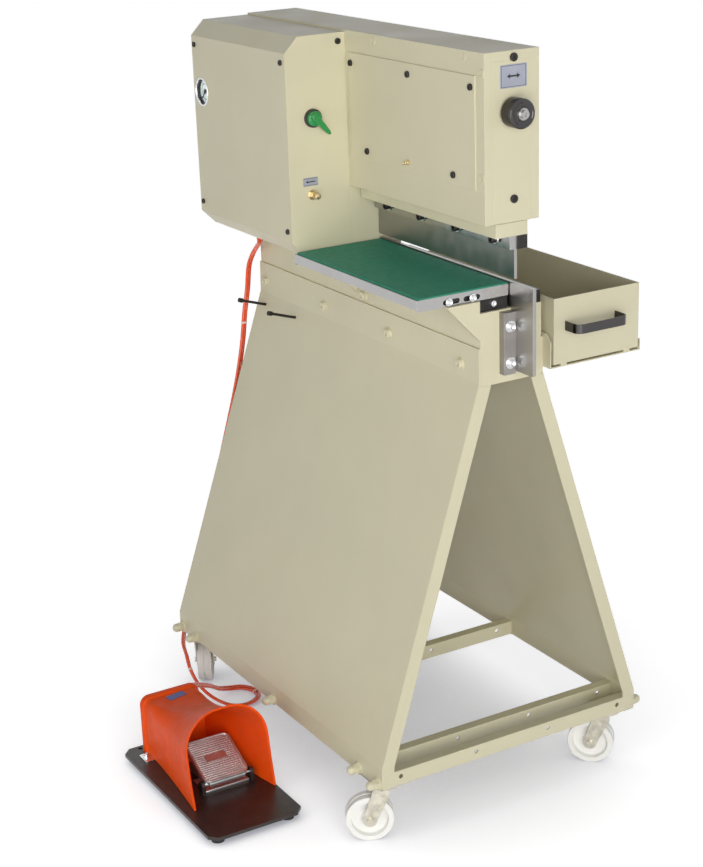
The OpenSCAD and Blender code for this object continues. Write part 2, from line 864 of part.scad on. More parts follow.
module control_box_cover() {
    color(cream) difference() {
        plate_xz(throat, head_rear) box_outline(0, head_left);
        plate_xz(throat + box_t, head_rear - box_t) box_outline(-box_t, head_left + past);
        translate([0, gauge_y, gauge_z]) bar_x(gauge_d / 2 + loose, box_left - past, box_left + 10);
        translate([selector_x, 0, selector_z]) bar_y(9, throat - past, throat + box_t + past);
        translate([valve_x, 0, valve_z]) bar_y(4, throat - past, throat + box_t + past);
    }
}

// Gauge seen from its face, which looks along -X
module pressure_gauge() {
    r = gauge_d / 2;
    color(black) translate([box_left, gauge_y, gauge_z]) difference() {
        union() {
            bar_x(r, 0.2, gauge_depth);
            bar_x(r + gauge_flange, box_t, box_t + 3);
        }
        bar_x(r - 2, -past, 1.5);
        bar_x(r - 3.5, 0, dial_depth);
    }
    color("white") translate([box_left, gauge_y, gauge_z])
        bar_x(1.5, dial_depth - 4, dial_depth);
}

module gauge_needle() {
    color(black) translate([box_left + dial_depth - 2.5, gauge_y, gauge_z])
        rotate([-needle_zero, 0, 0]) difference() {
        union() {
            bar_x(4, 0, 1.5);
            block([0.4, -1, 0], [1.1, 1, gauge_d / 2 - 6]);
        }
        bar_x(1.5 + run_fit, -past, 3);
    }
}

module gauge_window() {
    color([0.8, 0.9, 0.95, 0.5]) translate([box_left, gauge_y, gauge_z])
        bar_x(gauge_d / 2 - 2.1, 0.4, 1.5);
}

module selector_body() {
    color(black) translate([selector_x, throat, selector_z]) difference() {
        union() {
            bar_y(selector_d / 2, -6, 0);
            bar_y(8.5, 0, 30);
        }
        bar_y(6 + run_fit, -6 - past, 24);
    }
}

module selector_knob() {
    color([0.1, 0.6, 0.25]) translate([selector_x, throat, selector_z])
        rotate([0, -selector_turn, 0]) {
            bar_y(6, -7, 20);
            bar_y(selector_d / 2 - 1, -13, -6 - gap);
            block([-8, -19, -5], [lever_l, -12, 5]);
        }
}

module speed_valve_body() {
    color([0.75, 0.6, 0.25]) translate([valve_x, throat, valve_z]) difference() {
        union() {
            rotate([90, 0, 0]) cylinder(h = 7, r = valve_d / 2, $fn = 6);
            bar_y(3.8, 0, 25);
        }
        bar_y(2.5 + run_fit, -8, 10);
    }
}

module speed_valve_knob() {
    color([0.8, 0.65, 0.3]) translate([valve_x, throat, valve_z]) {
        bar_y(2.5, -8, 8);
        bar_y(valve_d / 2 - 2, -20, -7 - gap);
    }
}

module air_cylinder() {
    r = cylinder_bore / 2 + cylinder_wall;
    cap = 12;
    color([0.7, 0.7, 0.72]) translate([drive_x, 0, drive_z]) difference() {
        union() {
            bar_y(r, cylinder_y, cylinder_end);
            bar_y(22, cylinder_end - past, rear_plate_in);
        }
        bar_y(cylinder_bore / 2, cylinder_y + cap, cylinder_end - cap);
        bar_y(rod_d / 2 + run_fit, cylinder_y - past, cylinder_y + cap + past);
    }
}

module cylinder_rod() {
    color(bright_steel) translate([drive_x, 0, drive_z]) {
        bar_y(rod_d / 2, cam_end, piston_y + past);
        bar_y(cylinder_bore / 2 - run_fit, piston_y, piston_y + piston_t);
    }
}

// Valve on the column inside the control box
module control_valve() {
    color([0.3, 0.3, 0.32]) {
        block([head_left - 45, 470, 960], [head_left, 590, 1000]);
        translate([head_left - 22, 590, 980]) bar_y(14, 0, 50);
    }
}

module drawer() {
    w = drawer_w;
    color(cream) translate([drawer_x, drawer_front, drawer_z]) difference() {
        cube([w, drawer_l, drawer_h]);
        translate([drawer_t, drawer_t, drawer_t])
            cube([w - 2 * drawer_t, drawer_l - 2 * drawer_t, drawer_h]);
    }
}

module drawer_handle() {
    t = 2;
    foot = 12;
    color(black) translate([handle_x, drawer_front - handle_reach, handle_z]) {
        block([0, 0, 0], [handle_w, t, handle_h]);
        for (side = [0, 1]) translate([side * handle_w, 0, 0]) mirror([side, 0, 0]) {
            block([0, 0, 0], [t, handle_reach, handle_h]);
            block([0, handle_reach - t, 0], [foot, handle_reach, handle_h]);
        }
    }
}

// Tray that carries the drawer: floor, two runners, upright on the stand and a low lip
module drawer_cradle() {
    corner = 12;
    rear = drawer_front + drawer_l - 2;
    floor_top = cradle_z + cradle_t;
    color(cream) {
        block([cradle_x, cradle_front, cradle_z], [cradle_right, rear, floor_top]);
        plate_yz(cradle_x, cradle_x + cradle_t) polygon([
            [cradle_front, cradle_z], [rear, cradle_z], [rear, cradle_z + cradle_up],
            [cradle_front + corner, cradle_z + cradle_up],
            [cradle_front, cradle_z + cradle_up - corner]]);
        block([cradle_right - cradle_t, cradle_front, cradle_z],
              [cradle_right, rear, cradle_z + cradle_lip]);
        for (x = [drawer_x + 15, drawer_x + drawer_w - 27])
            block([x, cradle_front, floor_top], [x + 12, rear, floor_top + runner_h]);
    }
}

// Base plate with clipped corners, one hole by each, and the lugs that carry the treadle
module pedal_base() {
    clip = 14;
    hole_inset = 32;
    x1 = pedal_left + pedal_w;
    y1 = pedal_y + pedal_l;
    color(black) difference() {
        union() {
            translate([0, 0, pedal_foot_h]) linear_extrude(pedal_t) polygon([
                [pedal_left + clip, pedal_y], [x1 - clip, pedal_y], [x1, pedal_y + clip],
                [x1, y1 - clip], [x1 - clip, y1], [pedal_left + clip, y1],
                [pedal_left, y1 - clip], [pedal_left, pedal_y + clip]]);
            for (side = [-1, 1])
                translate([treadle_x + side * (treadle_w / 2 + 1 + lug_t / 2), treadle_y, plate_top])
                    treadle_lug();
        }
        for (x = [pedal_left + hole_inset, x1 - hole_inset])
            translate([x, y1 - 10, pedal_foot_h - past]) cylinder(h = pedal_t + 2 * past, r = 4);
        translate([treadle_x, treadle_y, treadle_z])
            bar_x(treadle_pin_r, -treadle_w, treadle_w);
    }
}

// Upright ear with a round top about the treadle's pin
module treadle_lug() {
    half = 8;
    plate_yz(-lug_t / 2, lug_t / 2) {
        translate([-half, -past]) square([2 * half, treadle_z - plate_top + past]);
        translate([0, treadle_z - plate_top]) circle(r = half);
    }
}

module pedal_feet() {
    inset = 22;
    color([0.1, 0.1, 0.1])
        for (x = [pedal_left + inset, pedal_left + pedal_w - inset],
             y = [pedal_y + inset, pedal_y + pedal_l - inset])
            translate([x, y, 0]) cylinder(h = pedal_foot_h, r = 11);
}

// Cross-section of the guard: a doorway with rounded upper corners, grown inwards by d
module guard_door(half, h, r, d) {
    rr = r - d;
    hull() {
        translate([-half + d, -past * 5]) square([2 * (half - d), 1]);
        for (x = [-half + r, half - r]) translate([x, h - r]) circle(r = rr, $fn = 32);
    }
}

// Loft from the wide mouth to the low rear of the guard
module guard_loft(d, y0, y1) {
    thin = 0.5;
    hull() {
        translate([guard_x, y0, plate_top]) rotate([90, 0, 0])
            linear_extrude(thin) guard_door(guard_w / 2, guard_h, 52, d);
        translate([guard_rear_x, y1, plate_top]) rotate([90, 0, 0])
            linear_extrude(thin) guard_door(guard_rear_half, guard_block_h, 14, d);
    }
}

module pedal_guard() {
    ridge = 12;
    block_x0 = guard_rear_x - guard_rear_half;
    block_x1 = guard_rear_x + guard_rear_half;
    block_end = guard_rear_y + guard_block_d;
    color(orange) intersection() {
        union() {
            difference() {
                guard_loft(0, mouth_y, guard_rear_y);
                guard_loft(guard_t, mouth_y - 1, guard_rear_y - guard_t);
            }
            plate_yz(block_x0, block_x1) {
                polygon([[guard_rear_y - 2, 0], [block_end, 0], [block_end, plate_top + 80],
                         [block_end - 4, plate_top + guard_block_h],
                         [guard_rear_y - 2, plate_top + guard_block_h]]);
            }
            translate([0, block_end - ridge, plate_top + guard_block_h - 6])
                bar_x(ridge / 2, block_x0 - 4, block_x1);
        }
        block([-600, 0, plate_top], [0, 700, 400]);
    }
}

module pedal_valve() {
    color([0.35, 0.35, 0.37]) {
        block([treadle_x - 30, treadle_y + 50, plate_top],
              [treadle_x + 30, guard_rear_y - 12, plate_top + 20]);
        translate([treadle_x, treadle_y + 62, plate_top + 20]) cylinder(h = 3, r = 7);
    }
}

// Side view of the treadle: a plate at its slope, and the barrel that turns on the pin
module treadle_profile() {
    barrel_r = 6;
    difference() {
        union() {
            rotate(treadle_slope) translate([0, 2]) square([treadle_l, treadle_t]);
            circle(r = barrel_r);
        }
        circle(r = treadle_pin_r + run_fit);
    }
}

module pedal_treadle() {
    rib_pitch = 8;
    rib_w = 3;
    rib_h = 1.5;
    half = treadle_w / 2;
    color([0.75, 0.76, 0.78]) translate([treadle_x, treadle_y, treadle_z]) {
        plate_yz(-half, half) treadle_profile();
        for (side = [-1, 1]) translate([side * (half - 4), 0, 0]) plate_yz(-2, 2)
            rotate(treadle_slope) translate([10, -4]) square([treadle_l * 0.5, 7]);
        rotate([treadle_slope, 0, 0]) for (y = [rib_pitch:rib_pitch:treadle_l - rib_w])
            block([3 - half, y, 1 + treadle_t], [half - 3, y + rib_w, 2 + treadle_t + rib_h]);
    }
}

module pedal_pin() {
    reach = treadle_w / 2 + 1 + lug_t;
    color(bright_steel) translate([treadle_x, treadle_y, treadle_z])
        bar_x(treadle_pin_r, -reach, reach);
}

// Smooth curve through the route's points, and a frame carried along it without twist
function curve_point(p, i, u) =
    let (a = p[max(i - 1, 0)], b = p[i], c = p[i + 1], d = p[min(i + 2, len(p) - 1)])
    0.5 * (2 * b + (c - a) * u + (2 * a - 5 * b + 4 * c - d) * u * u
           + (3 * b - 3 * c + d - a) * u * u * u);
function curve(p, n) = concat(
    [for (i = [0:len(p) - 2], k = [0:n - 1]) curve_point(p, i, k / n)], [p[len(p) - 1]]);
function unit(v) = v / norm(v);
function tangents(c) = [for (i = [0:len(c) - 1])
    unit(c[min(i + 1, len(c) - 1)] - c[max(i - 1, 0)])];
function square_to(t, v) = unit(v - (v * t) * t);
function carried(ts, i, v) = i == len(ts) ? []
    : let (n = square_to(ts[i], v)) concat([n], carried(ts, i + 1, n));

// Round tube along a route
module tube(route, d, sides, steps) {
    c = curve(route, steps);
    ts = tangents(c);
    ns = carried(ts, 0, [0, 1, 0]);
    last = len(c) - 1;
    points = [for (i = [0:last], k = [0:sides - 1])
        c[i] + d / 2 * (cos(360 * k / sides) * ns[i] + sin(360 * k / sides) * cross(ts[i], ns[i]))];
    sides_faces = [for (i = [0:last - 1], k = [0:sides - 1])
        let (a = i * sides + k, b = i * sides + (k + 1) % sides)
        each [[a, a + sides, b], [b, a + sides, b + sides]]];
    ends = [[for (k = [0:sides - 1]) k], [for (k = [sides - 1:-1:0]) last * sides + k]];
    polyhedron(points, concat(sides_faces, ends), convexity = 10);
}

module air_hose() {
    color(orange) tube(hose_route, hose_d, hose_sides, hose_steps);
}

// Straight fittings under the control box and at the rear of the pedal
module hose_fittings() {
    first = hose_route[0];
    last = hose_route[len(hose_route) - 1];
    color([0.2, 0.2, 0.22]) {
        translate(first) cylinder(h = box_z - first[2], r = fitting_r);
        translate([last[0], guard_rear_y + guard_block_d, last[2]]) bar_y(fitting_r, 0, fitting_l);
    }
}

translate([-centre_x, -centre_y, 0]) {
    left_leg_panel();
    right_leg_panel();
    cross_bars();
    painted_bolts();
    caster_top_plates();
    caster_fork(0);  // caster_fork_1
    caster_fork(1);  // caster_fork_2
    caster_fork(2);  // caster_fork_3
    caster_fork(3);  // caster_fork_4
    caster_wheel(0);  // caster_wheel_1
    caster_wheel(1);  // caster_wheel_2
    caster_wheel(2);  // caster_wheel_3
    caster_wheel(3);  // caster_wheel_4
    base_casting();
    rear_column();
    lower_blade();
    lower_clamp_block();
    table_blocks();
    table_plate();
    table_mat();
    head_left_plate();
    head_right_plate();
    head_top_plate();
    head_end_plate();
    head_rear_plate();
    access_cover();
    socket_screws();
    gap_knob();
    gap_screw();
    stop_nut();
    ram();
    cam_pins();
    ram_guides();
    cam_bar();
    blade_holder();
    upper_blade();
    blade_clamp_strip();
    blade_screws();
    control_box_cover();
    pressure_gauge();
    gauge_needle();
    gauge_window();
    selector_body();
    selector_knob();
    speed_valve_body();
    speed_valve_knob();
    air_cylinder();
    cylinder_rod();
    control_valve();
    drawer();
    drawer_handle();
    drawer_cradle();
    pedal_base();
    pedal_feet();
    pedal_guard();
    pedal_valve();
    pedal_treadle();
    pedal_pin();
    air_hose();
    hose_fittings();
}
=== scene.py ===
"""Looks of a pneumatic blade depaneling machine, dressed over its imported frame."""

import logging
import math
from dataclasses import dataclass, field
from enum import Enum
from typing import Iterable, Sequence

import bpy
from mathutils import Matrix, Vector


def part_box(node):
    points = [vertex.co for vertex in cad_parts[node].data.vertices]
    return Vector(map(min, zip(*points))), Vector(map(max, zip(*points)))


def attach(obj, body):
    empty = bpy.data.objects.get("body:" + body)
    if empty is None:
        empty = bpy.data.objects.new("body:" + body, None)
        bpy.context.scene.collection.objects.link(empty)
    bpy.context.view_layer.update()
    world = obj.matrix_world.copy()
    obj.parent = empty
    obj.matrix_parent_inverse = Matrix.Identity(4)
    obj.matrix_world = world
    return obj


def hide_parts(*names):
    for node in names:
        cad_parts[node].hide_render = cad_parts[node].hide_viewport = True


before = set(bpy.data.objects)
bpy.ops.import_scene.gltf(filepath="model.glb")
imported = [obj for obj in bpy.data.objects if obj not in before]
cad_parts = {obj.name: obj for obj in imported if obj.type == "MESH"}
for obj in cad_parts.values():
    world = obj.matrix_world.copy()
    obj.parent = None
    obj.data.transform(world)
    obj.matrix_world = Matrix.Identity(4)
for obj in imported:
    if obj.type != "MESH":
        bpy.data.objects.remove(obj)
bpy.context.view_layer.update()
MM = 0.001
log = logging.getLogger("depaneling_machine")

Colour = tuple[float, float, float]
Point2 = tuple[float, float]


def at(x: float, y: float, z: float) -> Vector:
    """Gives a place in the frame from the machine's own datum.

    Args:
        x: Millimetres right of the cutting plane.
        y: Millimetres behind the front of the stand.
        z: Millimetres above the floor.

    Returns:
        The place in metres.
    """
    datum = Vector((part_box("lower_blade")[0].x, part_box("left_leg_panel")[0].y, 0.0))
    return datum + Vector((x, y, z)) * MM


class Facing(Enum):
    """Which way a turned or extruded form points."""

    UP = Matrix.Identity(4)
    LEFT = Matrix.Rotation(-math.pi / 2, 4, "Y")
    RIGHT = Matrix.Rotation(math.pi / 2, 4, "Y")
    FRONT = Matrix.Rotation(math.pi / 2, 4, "X")
    REAR = Matrix.Rotation(-math.pi / 2, 4, "X")


# ---------------------------------------------------------------- finishes


class Nodes:
    """Short names for the nodes of one material."""

    def __init__(self, name: str) -> None:
        """Starts a material with its principled shader.

        Args:
            name: Name of the material.
        """
        self.material = bpy.data.materials.new(name)
        self.material.use_nodes = True
        self.tree = self.material.node_tree
        self.shader = self.tree.nodes["Principled BSDF"]
        coordinates = self.tree.nodes.new("ShaderNodeTexCoord")
        self.object_place = coordinates.outputs["Object"]

    def add(self, kind: str, links: dict[str, object] | None = None, **options: object) -> bpy.types.Node:
        """Adds a node.

        Args:
            kind: Blender's name of the node type.
            links: Values or outputs for its inputs, by input name.
            options: Attributes of the node.

        Returns:
            The node.
        """
        node = self.tree.nodes.new(kind)
        for key, value in options.items():
            setattr(node, key, value)
        for key, value in (links or {}).items():
            self.feed(node.inputs[key], value)
        return node

    def feed(self, socket: bpy.types.NodeSocket, value: object) -> None:
        """Links an output to a socket, or sets the socket to a plain value.

        Args:
            socket: The input to feed.
            value: An output socket, a number or a tuple.
        """
        if isinstance(value, bpy.types.NodeSocket):
            self.tree.links.new(value, socket)
        else:
            socket.default_value = value

    def stretched(self, scale: Colour) -> bpy.types.NodeSocket:
        """Object coordinates multiplied per axis, for streaks.

        Args:
            scale: Factor along X, Y and Z.

        Returns:
            The scaled coordinates.
        """
        node = self.add("ShaderNodeVectorMath", {0: self.object_place, 1: scale}, operation="MULTIPLY")
        return node.outputs[0]

    def noise(self, size_mm: float, detail: float = 2.0,
              place: bpy.types.NodeSocket | None = None) -> bpy.types.NodeSocket:
        """Noise of a given grain.

        Args:
            size_mm: Size of a grain in millimetres.
            detail: Octaves of finer grain.
            place: Coordinates, or the object's own.

        Returns:
            The noise from 0 to 1.
        """
        return self.add("ShaderNodeTexNoise", {
            "Vector": place or self.object_place, "Scale": 1000.0 / size_mm, "Detail": detail,
        }).outputs["Fac"]

    def ranged(self, value: bpy.types.NodeSocket, low: float, high: float,
               start: float = 0.0, end: float = 1.0) -> bpy.types.NodeSocket:
        """Maps a value from start..end to low..high, clamped.

        Args:
            value: The value.
            low: Result at start.
            high: Result at end.
            start: Lowest value.
            end: Highest value.

        Returns:
            The mapped value.
        """
        return self.add("ShaderNodeMapRange", {
            "Value": value, "From Min": start, "From Max": end, "To Min": low, "To Max": high,
        }).outputs["Result"]

    def blend(self, share: object, first: object, second: object) -> bpy.types.NodeSocket:
        """Mixes two colours.

        Args:
            share: Share of the second colour.
            first: Colour or output.
            second: Colour or output.

        Returns:
            The mixed colour.
        """
        node = self.add("ShaderNodeMix", data_type="RGBA")
        self.feed(node.inputs[0], share)
        self.feed(node.inputs[6], first if isinstance(first, bpy.types.NodeSocket) else (*first, 1.0))
        self.feed(node.inputs[7], second if isinstance(second, bpy.types.NodeSocket) else (*second, 1.0))
        return node.outputs[2]


def shade(colour: Colour, factor: float) -> Colour:
    """Makes a colour lighter or darker.

    Args:
        colour: Linear colour.
        factor: Factor on each part.

    Returns:
        The changed colour, at most 1.
    """
    return tuple(min(1.0, part * factor) for part in colour)


@dataclass(frozen=True)
class Finish:
    """A surface with grain, blotches, streaks, softened edges and a painted highlight along its edges."""

    name: str
    slot: str
    colour: Colour
    rough: float = 0.45
    metal: float = 0.0
    grain_mm: float = 0.8
    grain_depth_mm: float = 0.02
    blotch_mm: float = 70.0
    blotch: float = 0.04
    streak: Colour = (1.0, 1.0, 1.0)
    edge_mm: float = 0.8
    edge_light: float = 1.15
    coat: float = 0.0
    under_skin: float = 0.0
    rough_spread: float = 0.06
    gloss: float = 0.5

    def rounded_normal(self, nodes: Nodes) -> bpy.types.NodeSocket:
        """Normal that softens the edges.

        Args:
            nodes: Nodes of the material.

        Returns:
            The normal.
        """
        bevel = nodes.add("ShaderNodeBevel", {"Radius": self.edge_mm * MM}, samples=4)
        return bevel.outputs["Normal"]

    def edge_mask(self, nodes: Nodes, soft: bpy.types.NodeSocket) -> bpy.types.NodeSocket:
        """Share of an edge: 1 on the edge, 0 away from it.

        Args:
            nodes: Nodes of the material.
            soft: The softened normal.

        Returns:
            The mask.
        """
        true_normal = nodes.add("ShaderNodeNewGeometry").outputs["Normal"]
        dot = nodes.add("ShaderNodeVectorMath", {0: soft, 1: true_normal}, operation="DOT_PRODUCT")
        return nodes.ranged(dot.outputs["Value"], 1.0, 0.0, 0.86, 0.99)

    def base_colour(self, nodes: Nodes) -> bpy.types.NodeSocket:
        """Colour with its blotches.

        Args:
            nodes: Nodes of the material.

        Returns:
            The colour.
        """
        cloud = nodes.noise(self.blotch_mm, 3.0, nodes.stretched(self.streak))
        share = nodes.ranged(cloud, 0.0, 1.0, 0.3, 0.7)
        return nodes.blend(share, shade(self.colour, 1 - self.blotch), shade(self.colour, 1 + self.blotch))

    def relief(self, nodes: Nodes) -> bpy.types.NodeSocket:
        """Height of the grain.

        Args:
            nodes: Nodes of the material.

        Returns:
            The height from 0 to 1.
        """
        return nodes.noise(self.grain_mm, 2.0, nodes.stretched(self.streak))

    def finish_shader(self, nodes: Nodes) -> None:
        """Hook for what a special finish adds.

        Args:
            nodes: Nodes of the material.
        """

    def material(self) -> bpy.types.Material:
        """Builds the material once.

        Returns:
            The material.
        """
        made = bpy.data.materials.get(self.name)
        if made:
            return made
        nodes = Nodes(self.name)
        soft = self.rounded_normal(nodes)
        mask = self.edge_mask(nodes, soft)
        body = self.base_colour(nodes)
        # Edges painted lighter by edge_light: a painted highlight along each edge, partly standing for rubbed
        # wear.
        edge_highlight_and_wear = nodes.blend(mask, body, shade(self.colour, self.edge_light))
        bump = nodes.add("ShaderNodeBump", {
            "Height": self.relief(nodes), "Distance": self.grain_depth_mm * MM,
            "Strength": 1.0, "Normal": soft})
        spread = self.rough_spread
        rough = nodes.ranged(nodes.noise(self.blotch_mm * 0.4), self.rough - spread, self.rough + spread,
                             0.3, 0.7)
        shader = nodes.shader
        nodes.feed(shader.inputs["Base Color"], edge_highlight_and_wear)
        nodes.feed(shader.inputs["Roughness"], rough)
        nodes.feed(shader.inputs["Normal"], bump.outputs["Normal"])
        shader.inputs["Metallic"].default_value = self.metal
        shader.inputs["Coat Weight"].default_value = self.coat
        shader.inputs["Coat Roughness"].default_value = 0.15
        shader.inputs["Specular IOR Level"].default_value = self.gloss
        shader.inputs["Subsurface Weight"].default_value = self.under_skin
        shader.inputs["Subsurface Scale"].default_value = 2 * MM
        self.finish_shader(nodes)
        return nodes.material


@dataclass(frozen=True)
class ClearGlass(Finish):
    """Thin clear pane of the gauge."""

    def finish_shader(self, nodes: Nodes) -> None:
        """Makes the pane see-through.

        Args:
            nodes: Nodes of the material.
        """
        nodes.shader.inputs["Transmission Weight"].default_value = 1.0
        nodes.shader.inputs["IOR"].default_value = 1.05


@dataclass(frozen=True)
class GaugeDial(Finish):
    """White dial with a coloured arc, painted round the middle of the gauge."""

    middle: Colour = (0.0, 0.0, 0.0)

    def base_colour(self, nodes: Nodes) -> bpy.types.NodeSocket:
        """White, with a green arc inside the scale.

        Args:
            nodes: Nodes of the material.

        Returns:
            The colour.
        """
        offset = nodes.add("ShaderNodeVectorMath", {0: nodes.object_place, 1: self.middle},
                           operation="SUBTRACT").outputs[0]
        reach = nodes.add("ShaderNodeVectorMath", {0: offset}, operation="LENGTH").outputs["Value"]
        inner = nodes.ranged(reach, 0.0, 1.0, 0.0125, 0.0130)
        outer = nodes.ranged(reach, 1.0, 0.0, 0.0145, 0.0150)
        ring = nodes.add("ShaderNodeMath", {0: inner, 1: outer}, operation="MULTIPLY").outputs[0]
        return nodes.blend(ring, self.colour, (0.1, 0.45, 0.15))


class Finishes:
    """Every finish of the machine."""

    cream = Finish("cream_powder_coat", "cream_paint", (0.64, 0.605, 0.43), rough=0.42, grain_mm=1.6,
                   grain_depth_mm=0.02, blotch_mm=160, blotch=0.025, edge_mm=1.4, edge_light=1.12)
    casting = Finish("cream_painted_casting", "cream_casting", (0.64, 0.605, 0.43), rough=0.45,
                     grain_mm=2.4, grain_depth_mm=0.06, blotch_mm=120, blotch=0.035, edge_mm=1.8,
                     edge_light=1.1)
    blade = Finish("ground_blade_steel", "blade_steel", (0.36, 0.35, 0.34), rough=0.34, metal=1.0,
                   grain_mm=0.5, grain_depth_mm=0.006, blotch_mm=60, blotch=0.05,
                   streak=(1.0, 0.06, 1.0), edge_mm=0.4, edge_light=1.5)
    bright = Finish("machined_steel", "bright_steel", (0.42, 0.415, 0.41), rough=0.2, metal=1.0,
                    grain_mm=0.5, grain_depth_mm=0.005, blotch_mm=60, blotch=0.04,
                    streak=(0.1, 1.0, 1.0), edge_mm=0.5, edge_light=1.3)
    grey_block = Finish("grey_clamp_steel", "grey_steel", (0.30, 0.285, 0.27), rough=0.42, metal=0.7,
                        grain_mm=0.7, grain_depth_mm=0.01, blotch_mm=18, blotch=0.1, edge_mm=1.0)
    black = Finish("black_oxide_steel", "black_steel", (0.030, 0.028, 0.027), rough=0.36, metal=0.6,
                   grain_mm=0.5, grain_depth_mm=0.008, blotch_mm=14, blotch=0.25, edge_mm=0.6,
                   edge_light=3.0)
    zinc = Finish("yellow_zinc_plate", "zinc", (0.58, 0.55, 0.46), rough=0.34, metal=0.9,
                  grain_mm=1.2, grain_depth_mm=0.01, blotch_mm=11, blotch=0.2, edge_mm=0.8)
    nickel = Finish("bright_zinc_screws", "bright_steel", (0.70, 0.71, 0.73), rough=0.22, metal=1.0,
                    grain_mm=0.4, grain_depth_mm=0.004, blotch_mm=6, blotch=0.1, edge_mm=0.3)
    nylon = Finish("white_nylon", "white_nylon", (0.80, 0.80, 0.78), rough=0.5, grain_mm=2.0,
                   grain_depth_mm=0.05, blotch_mm=12, blotch=0.06, edge_mm=1.2, edge_light=1.05,
                   under_skin=0.15)
    mat = Finish("green_rubber_mat", "green_mat", (0.016, 0.245, 0.155), rough=0.6, grain_mm=0.7,
                 grain_depth_mm=0.03, blotch_mm=30, blotch=0.06, edge_mm=0.5)
    black_plastic = Finish("black_plastic", "black_plastic", (0.022, 0.022, 0.023), rough=0.3,
                           grain_mm=0.5, grain_depth_mm=0.008, blotch_mm=10, blotch=0.1, edge_mm=0.5,
                           edge_light=2.0)
    chrome_black = Finish("black_chrome", "black_chrome", (0.07, 0.062, 0.06), rough=0.12, metal=1.0,
                          grain_mm=0.8, grain_depth_mm=0.003, blotch_mm=20, blotch=0.1, edge_mm=0.5,
                          edge_light=1.8)
    green = Finish("green_moulded_plastic", "green_plastic", (0.006, 0.26, 0.055), rough=0.22,
                   grain_mm=1.0, grain_depth_mm=0.006, blotch_mm=12, blotch=0.05, edge_mm=0.8,
                   coat=0.4, under_skin=0.1)
    brass = Finish("nickelled_brass", "brass", (0.62, 0.50, 0.30), rough=0.26, metal=1.0,
                   grain_mm=0.4, grain_depth_mm=0.006, blotch_mm=6, blotch=0.12, edge_mm=0.4)
    aluminium = Finish("cast_aluminium", "ribbed_aluminium", (0.60, 0.59, 0.60), rough=0.36, metal=0.9,
                       grain_mm=1.1, grain_depth_mm=0.05, blotch_mm=16, blotch=0.12, edge_mm=0.7)
    inner_aluminium = Finish("drawn_aluminium", "cylinder_aluminium", (0.58, 0.59, 0.61), rough=0.35,
                             metal=1.0, grain_mm=0.6, grain_depth_mm=0.01, blotch_mm=20, blotch=0.08)
    rubber = Finish("black_rubber", "rubber", (0.018, 0.018, 0.018), rough=0.75, grain_mm=0.8,
                    grain_depth_mm=0.04, blotch_mm=8, blotch=0.15, edge_mm=1.0)
    orange = Finish("orange_guard_plastic", "orange_plastic", (0.86, 0.082, 0.003), rough=0.5,
                    grain_mm=1.3, grain_depth_mm=0.05, blotch_mm=45, blotch=0.06, edge_mm=1.2,
                    edge_light=1.06, under_skin=0.08, gloss=0.2)
    hose = Finish("orange_polyurethane", "orange_hose", (0.86, 0.085, 0.008), rough=0.25, grain_mm=4.0,
                  grain_depth_mm=0.02, blotch_mm=30, blotch=0.05, edge_mm=0.3, coat=0.3,
                  under_skin=0.3)
    band = Finish("clear_tie", "orange_hose", (0.86, 0.70, 0.62), rough=0.3, grain_mm=1.0,
                  grain_depth_mm=0.01, blotch_mm=6, blotch=0.05, edge_mm=0.3, under_skin=0.2)
    pedal_plate = Finish("brown_black_plate", "black_steel", (0.026, 0.019, 0.017), rough=0.34,
                         grain_mm=0.9, grain_depth_mm=0.035, blotch_mm=26, blotch=0.25, edge_mm=0.8,
                         edge_light=2.2)
    label = Finish("foil_label", "bright_steel", (0.36, 0.38, 0.45), rough=0.4, metal=0.3,
                   grain_mm=0.5, grain_depth_mm=0.004, blotch_mm=14, blotch=0.04, edge_mm=0.2)
    blue_label = Finish("blue_foil_label", "bright_steel", (0.03, 0.045, 0.26), rough=0.35,
                        grain_mm=0.5, grain_depth_mm=0.004, blotch_mm=10, blotch=0.06, edge_mm=0.2)
    ink = Finish("label_ink", "black_plastic", (0.02, 0.02, 0.025), rough=0.5, grain_mm=0.4,
                 grain_depth_mm=0.002, blotch_mm=6, blotch=0.1, edge_mm=0.1)
    pane = ClearGlass("gauge_pane", "window", (0.9, 0.93, 0.95), rough=0.05, grain_mm=8.0,
                      grain_depth_mm=0.002, blotch=0.01, edge_mm=0.2, rough_spread=0.02)


def paint(node: str, finish: Finish) -> None:
    """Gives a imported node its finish.

    Args:
        node: Name of the node.
        finish: The finish.
    """
    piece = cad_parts[node]
    material = finish.material()
    if not piece.material_slots:
        piece.data.materials.append(material)
    for place in piece.material_slots:
        place.link = "OBJECT"
        place.material = material


# ------------------------------------------------------------------- forms


@dataclass
class Form:
    """Vertices in millimetres and the faces between them."""

    verts: list[Vector] = field(default_factory=list)
    faces: list[tuple[int, ...]] = field(default_factory=list)

    def turned(self, matrix: Matrix) -> "Form":
        """Turns or moves the form.

        Args:
            matrix: The movement, in millimetres.

        Returns:
            The moved form.
        """
        return Form([matrix @ v for v in self.verts], list(self.faces))

    def moved(self, x: float, y: float, z: float) -> "Form":
        """Returns the form moved by x, y and z."""
        return self.turned(Matrix.Translation((x, y, z)))

    def joined(self, *others: "Form") -> "Form":
        """Puts forms together in one mesh.

        Args:
            others: The other forms.

        Returns:
            The joined form.
        """
        whole = Form(list(self.verts), list(self.faces))
        for other in others:
            start = len(whole.verts)
            whole.verts += other.verts
            whole.faces += [tuple(i + start for i in face) for face in other.faces]
        return whole


def merged(forms: Iterable[Form]) -> Form:
    """Returns all forms as one."""
    return Form().joined(*forms)


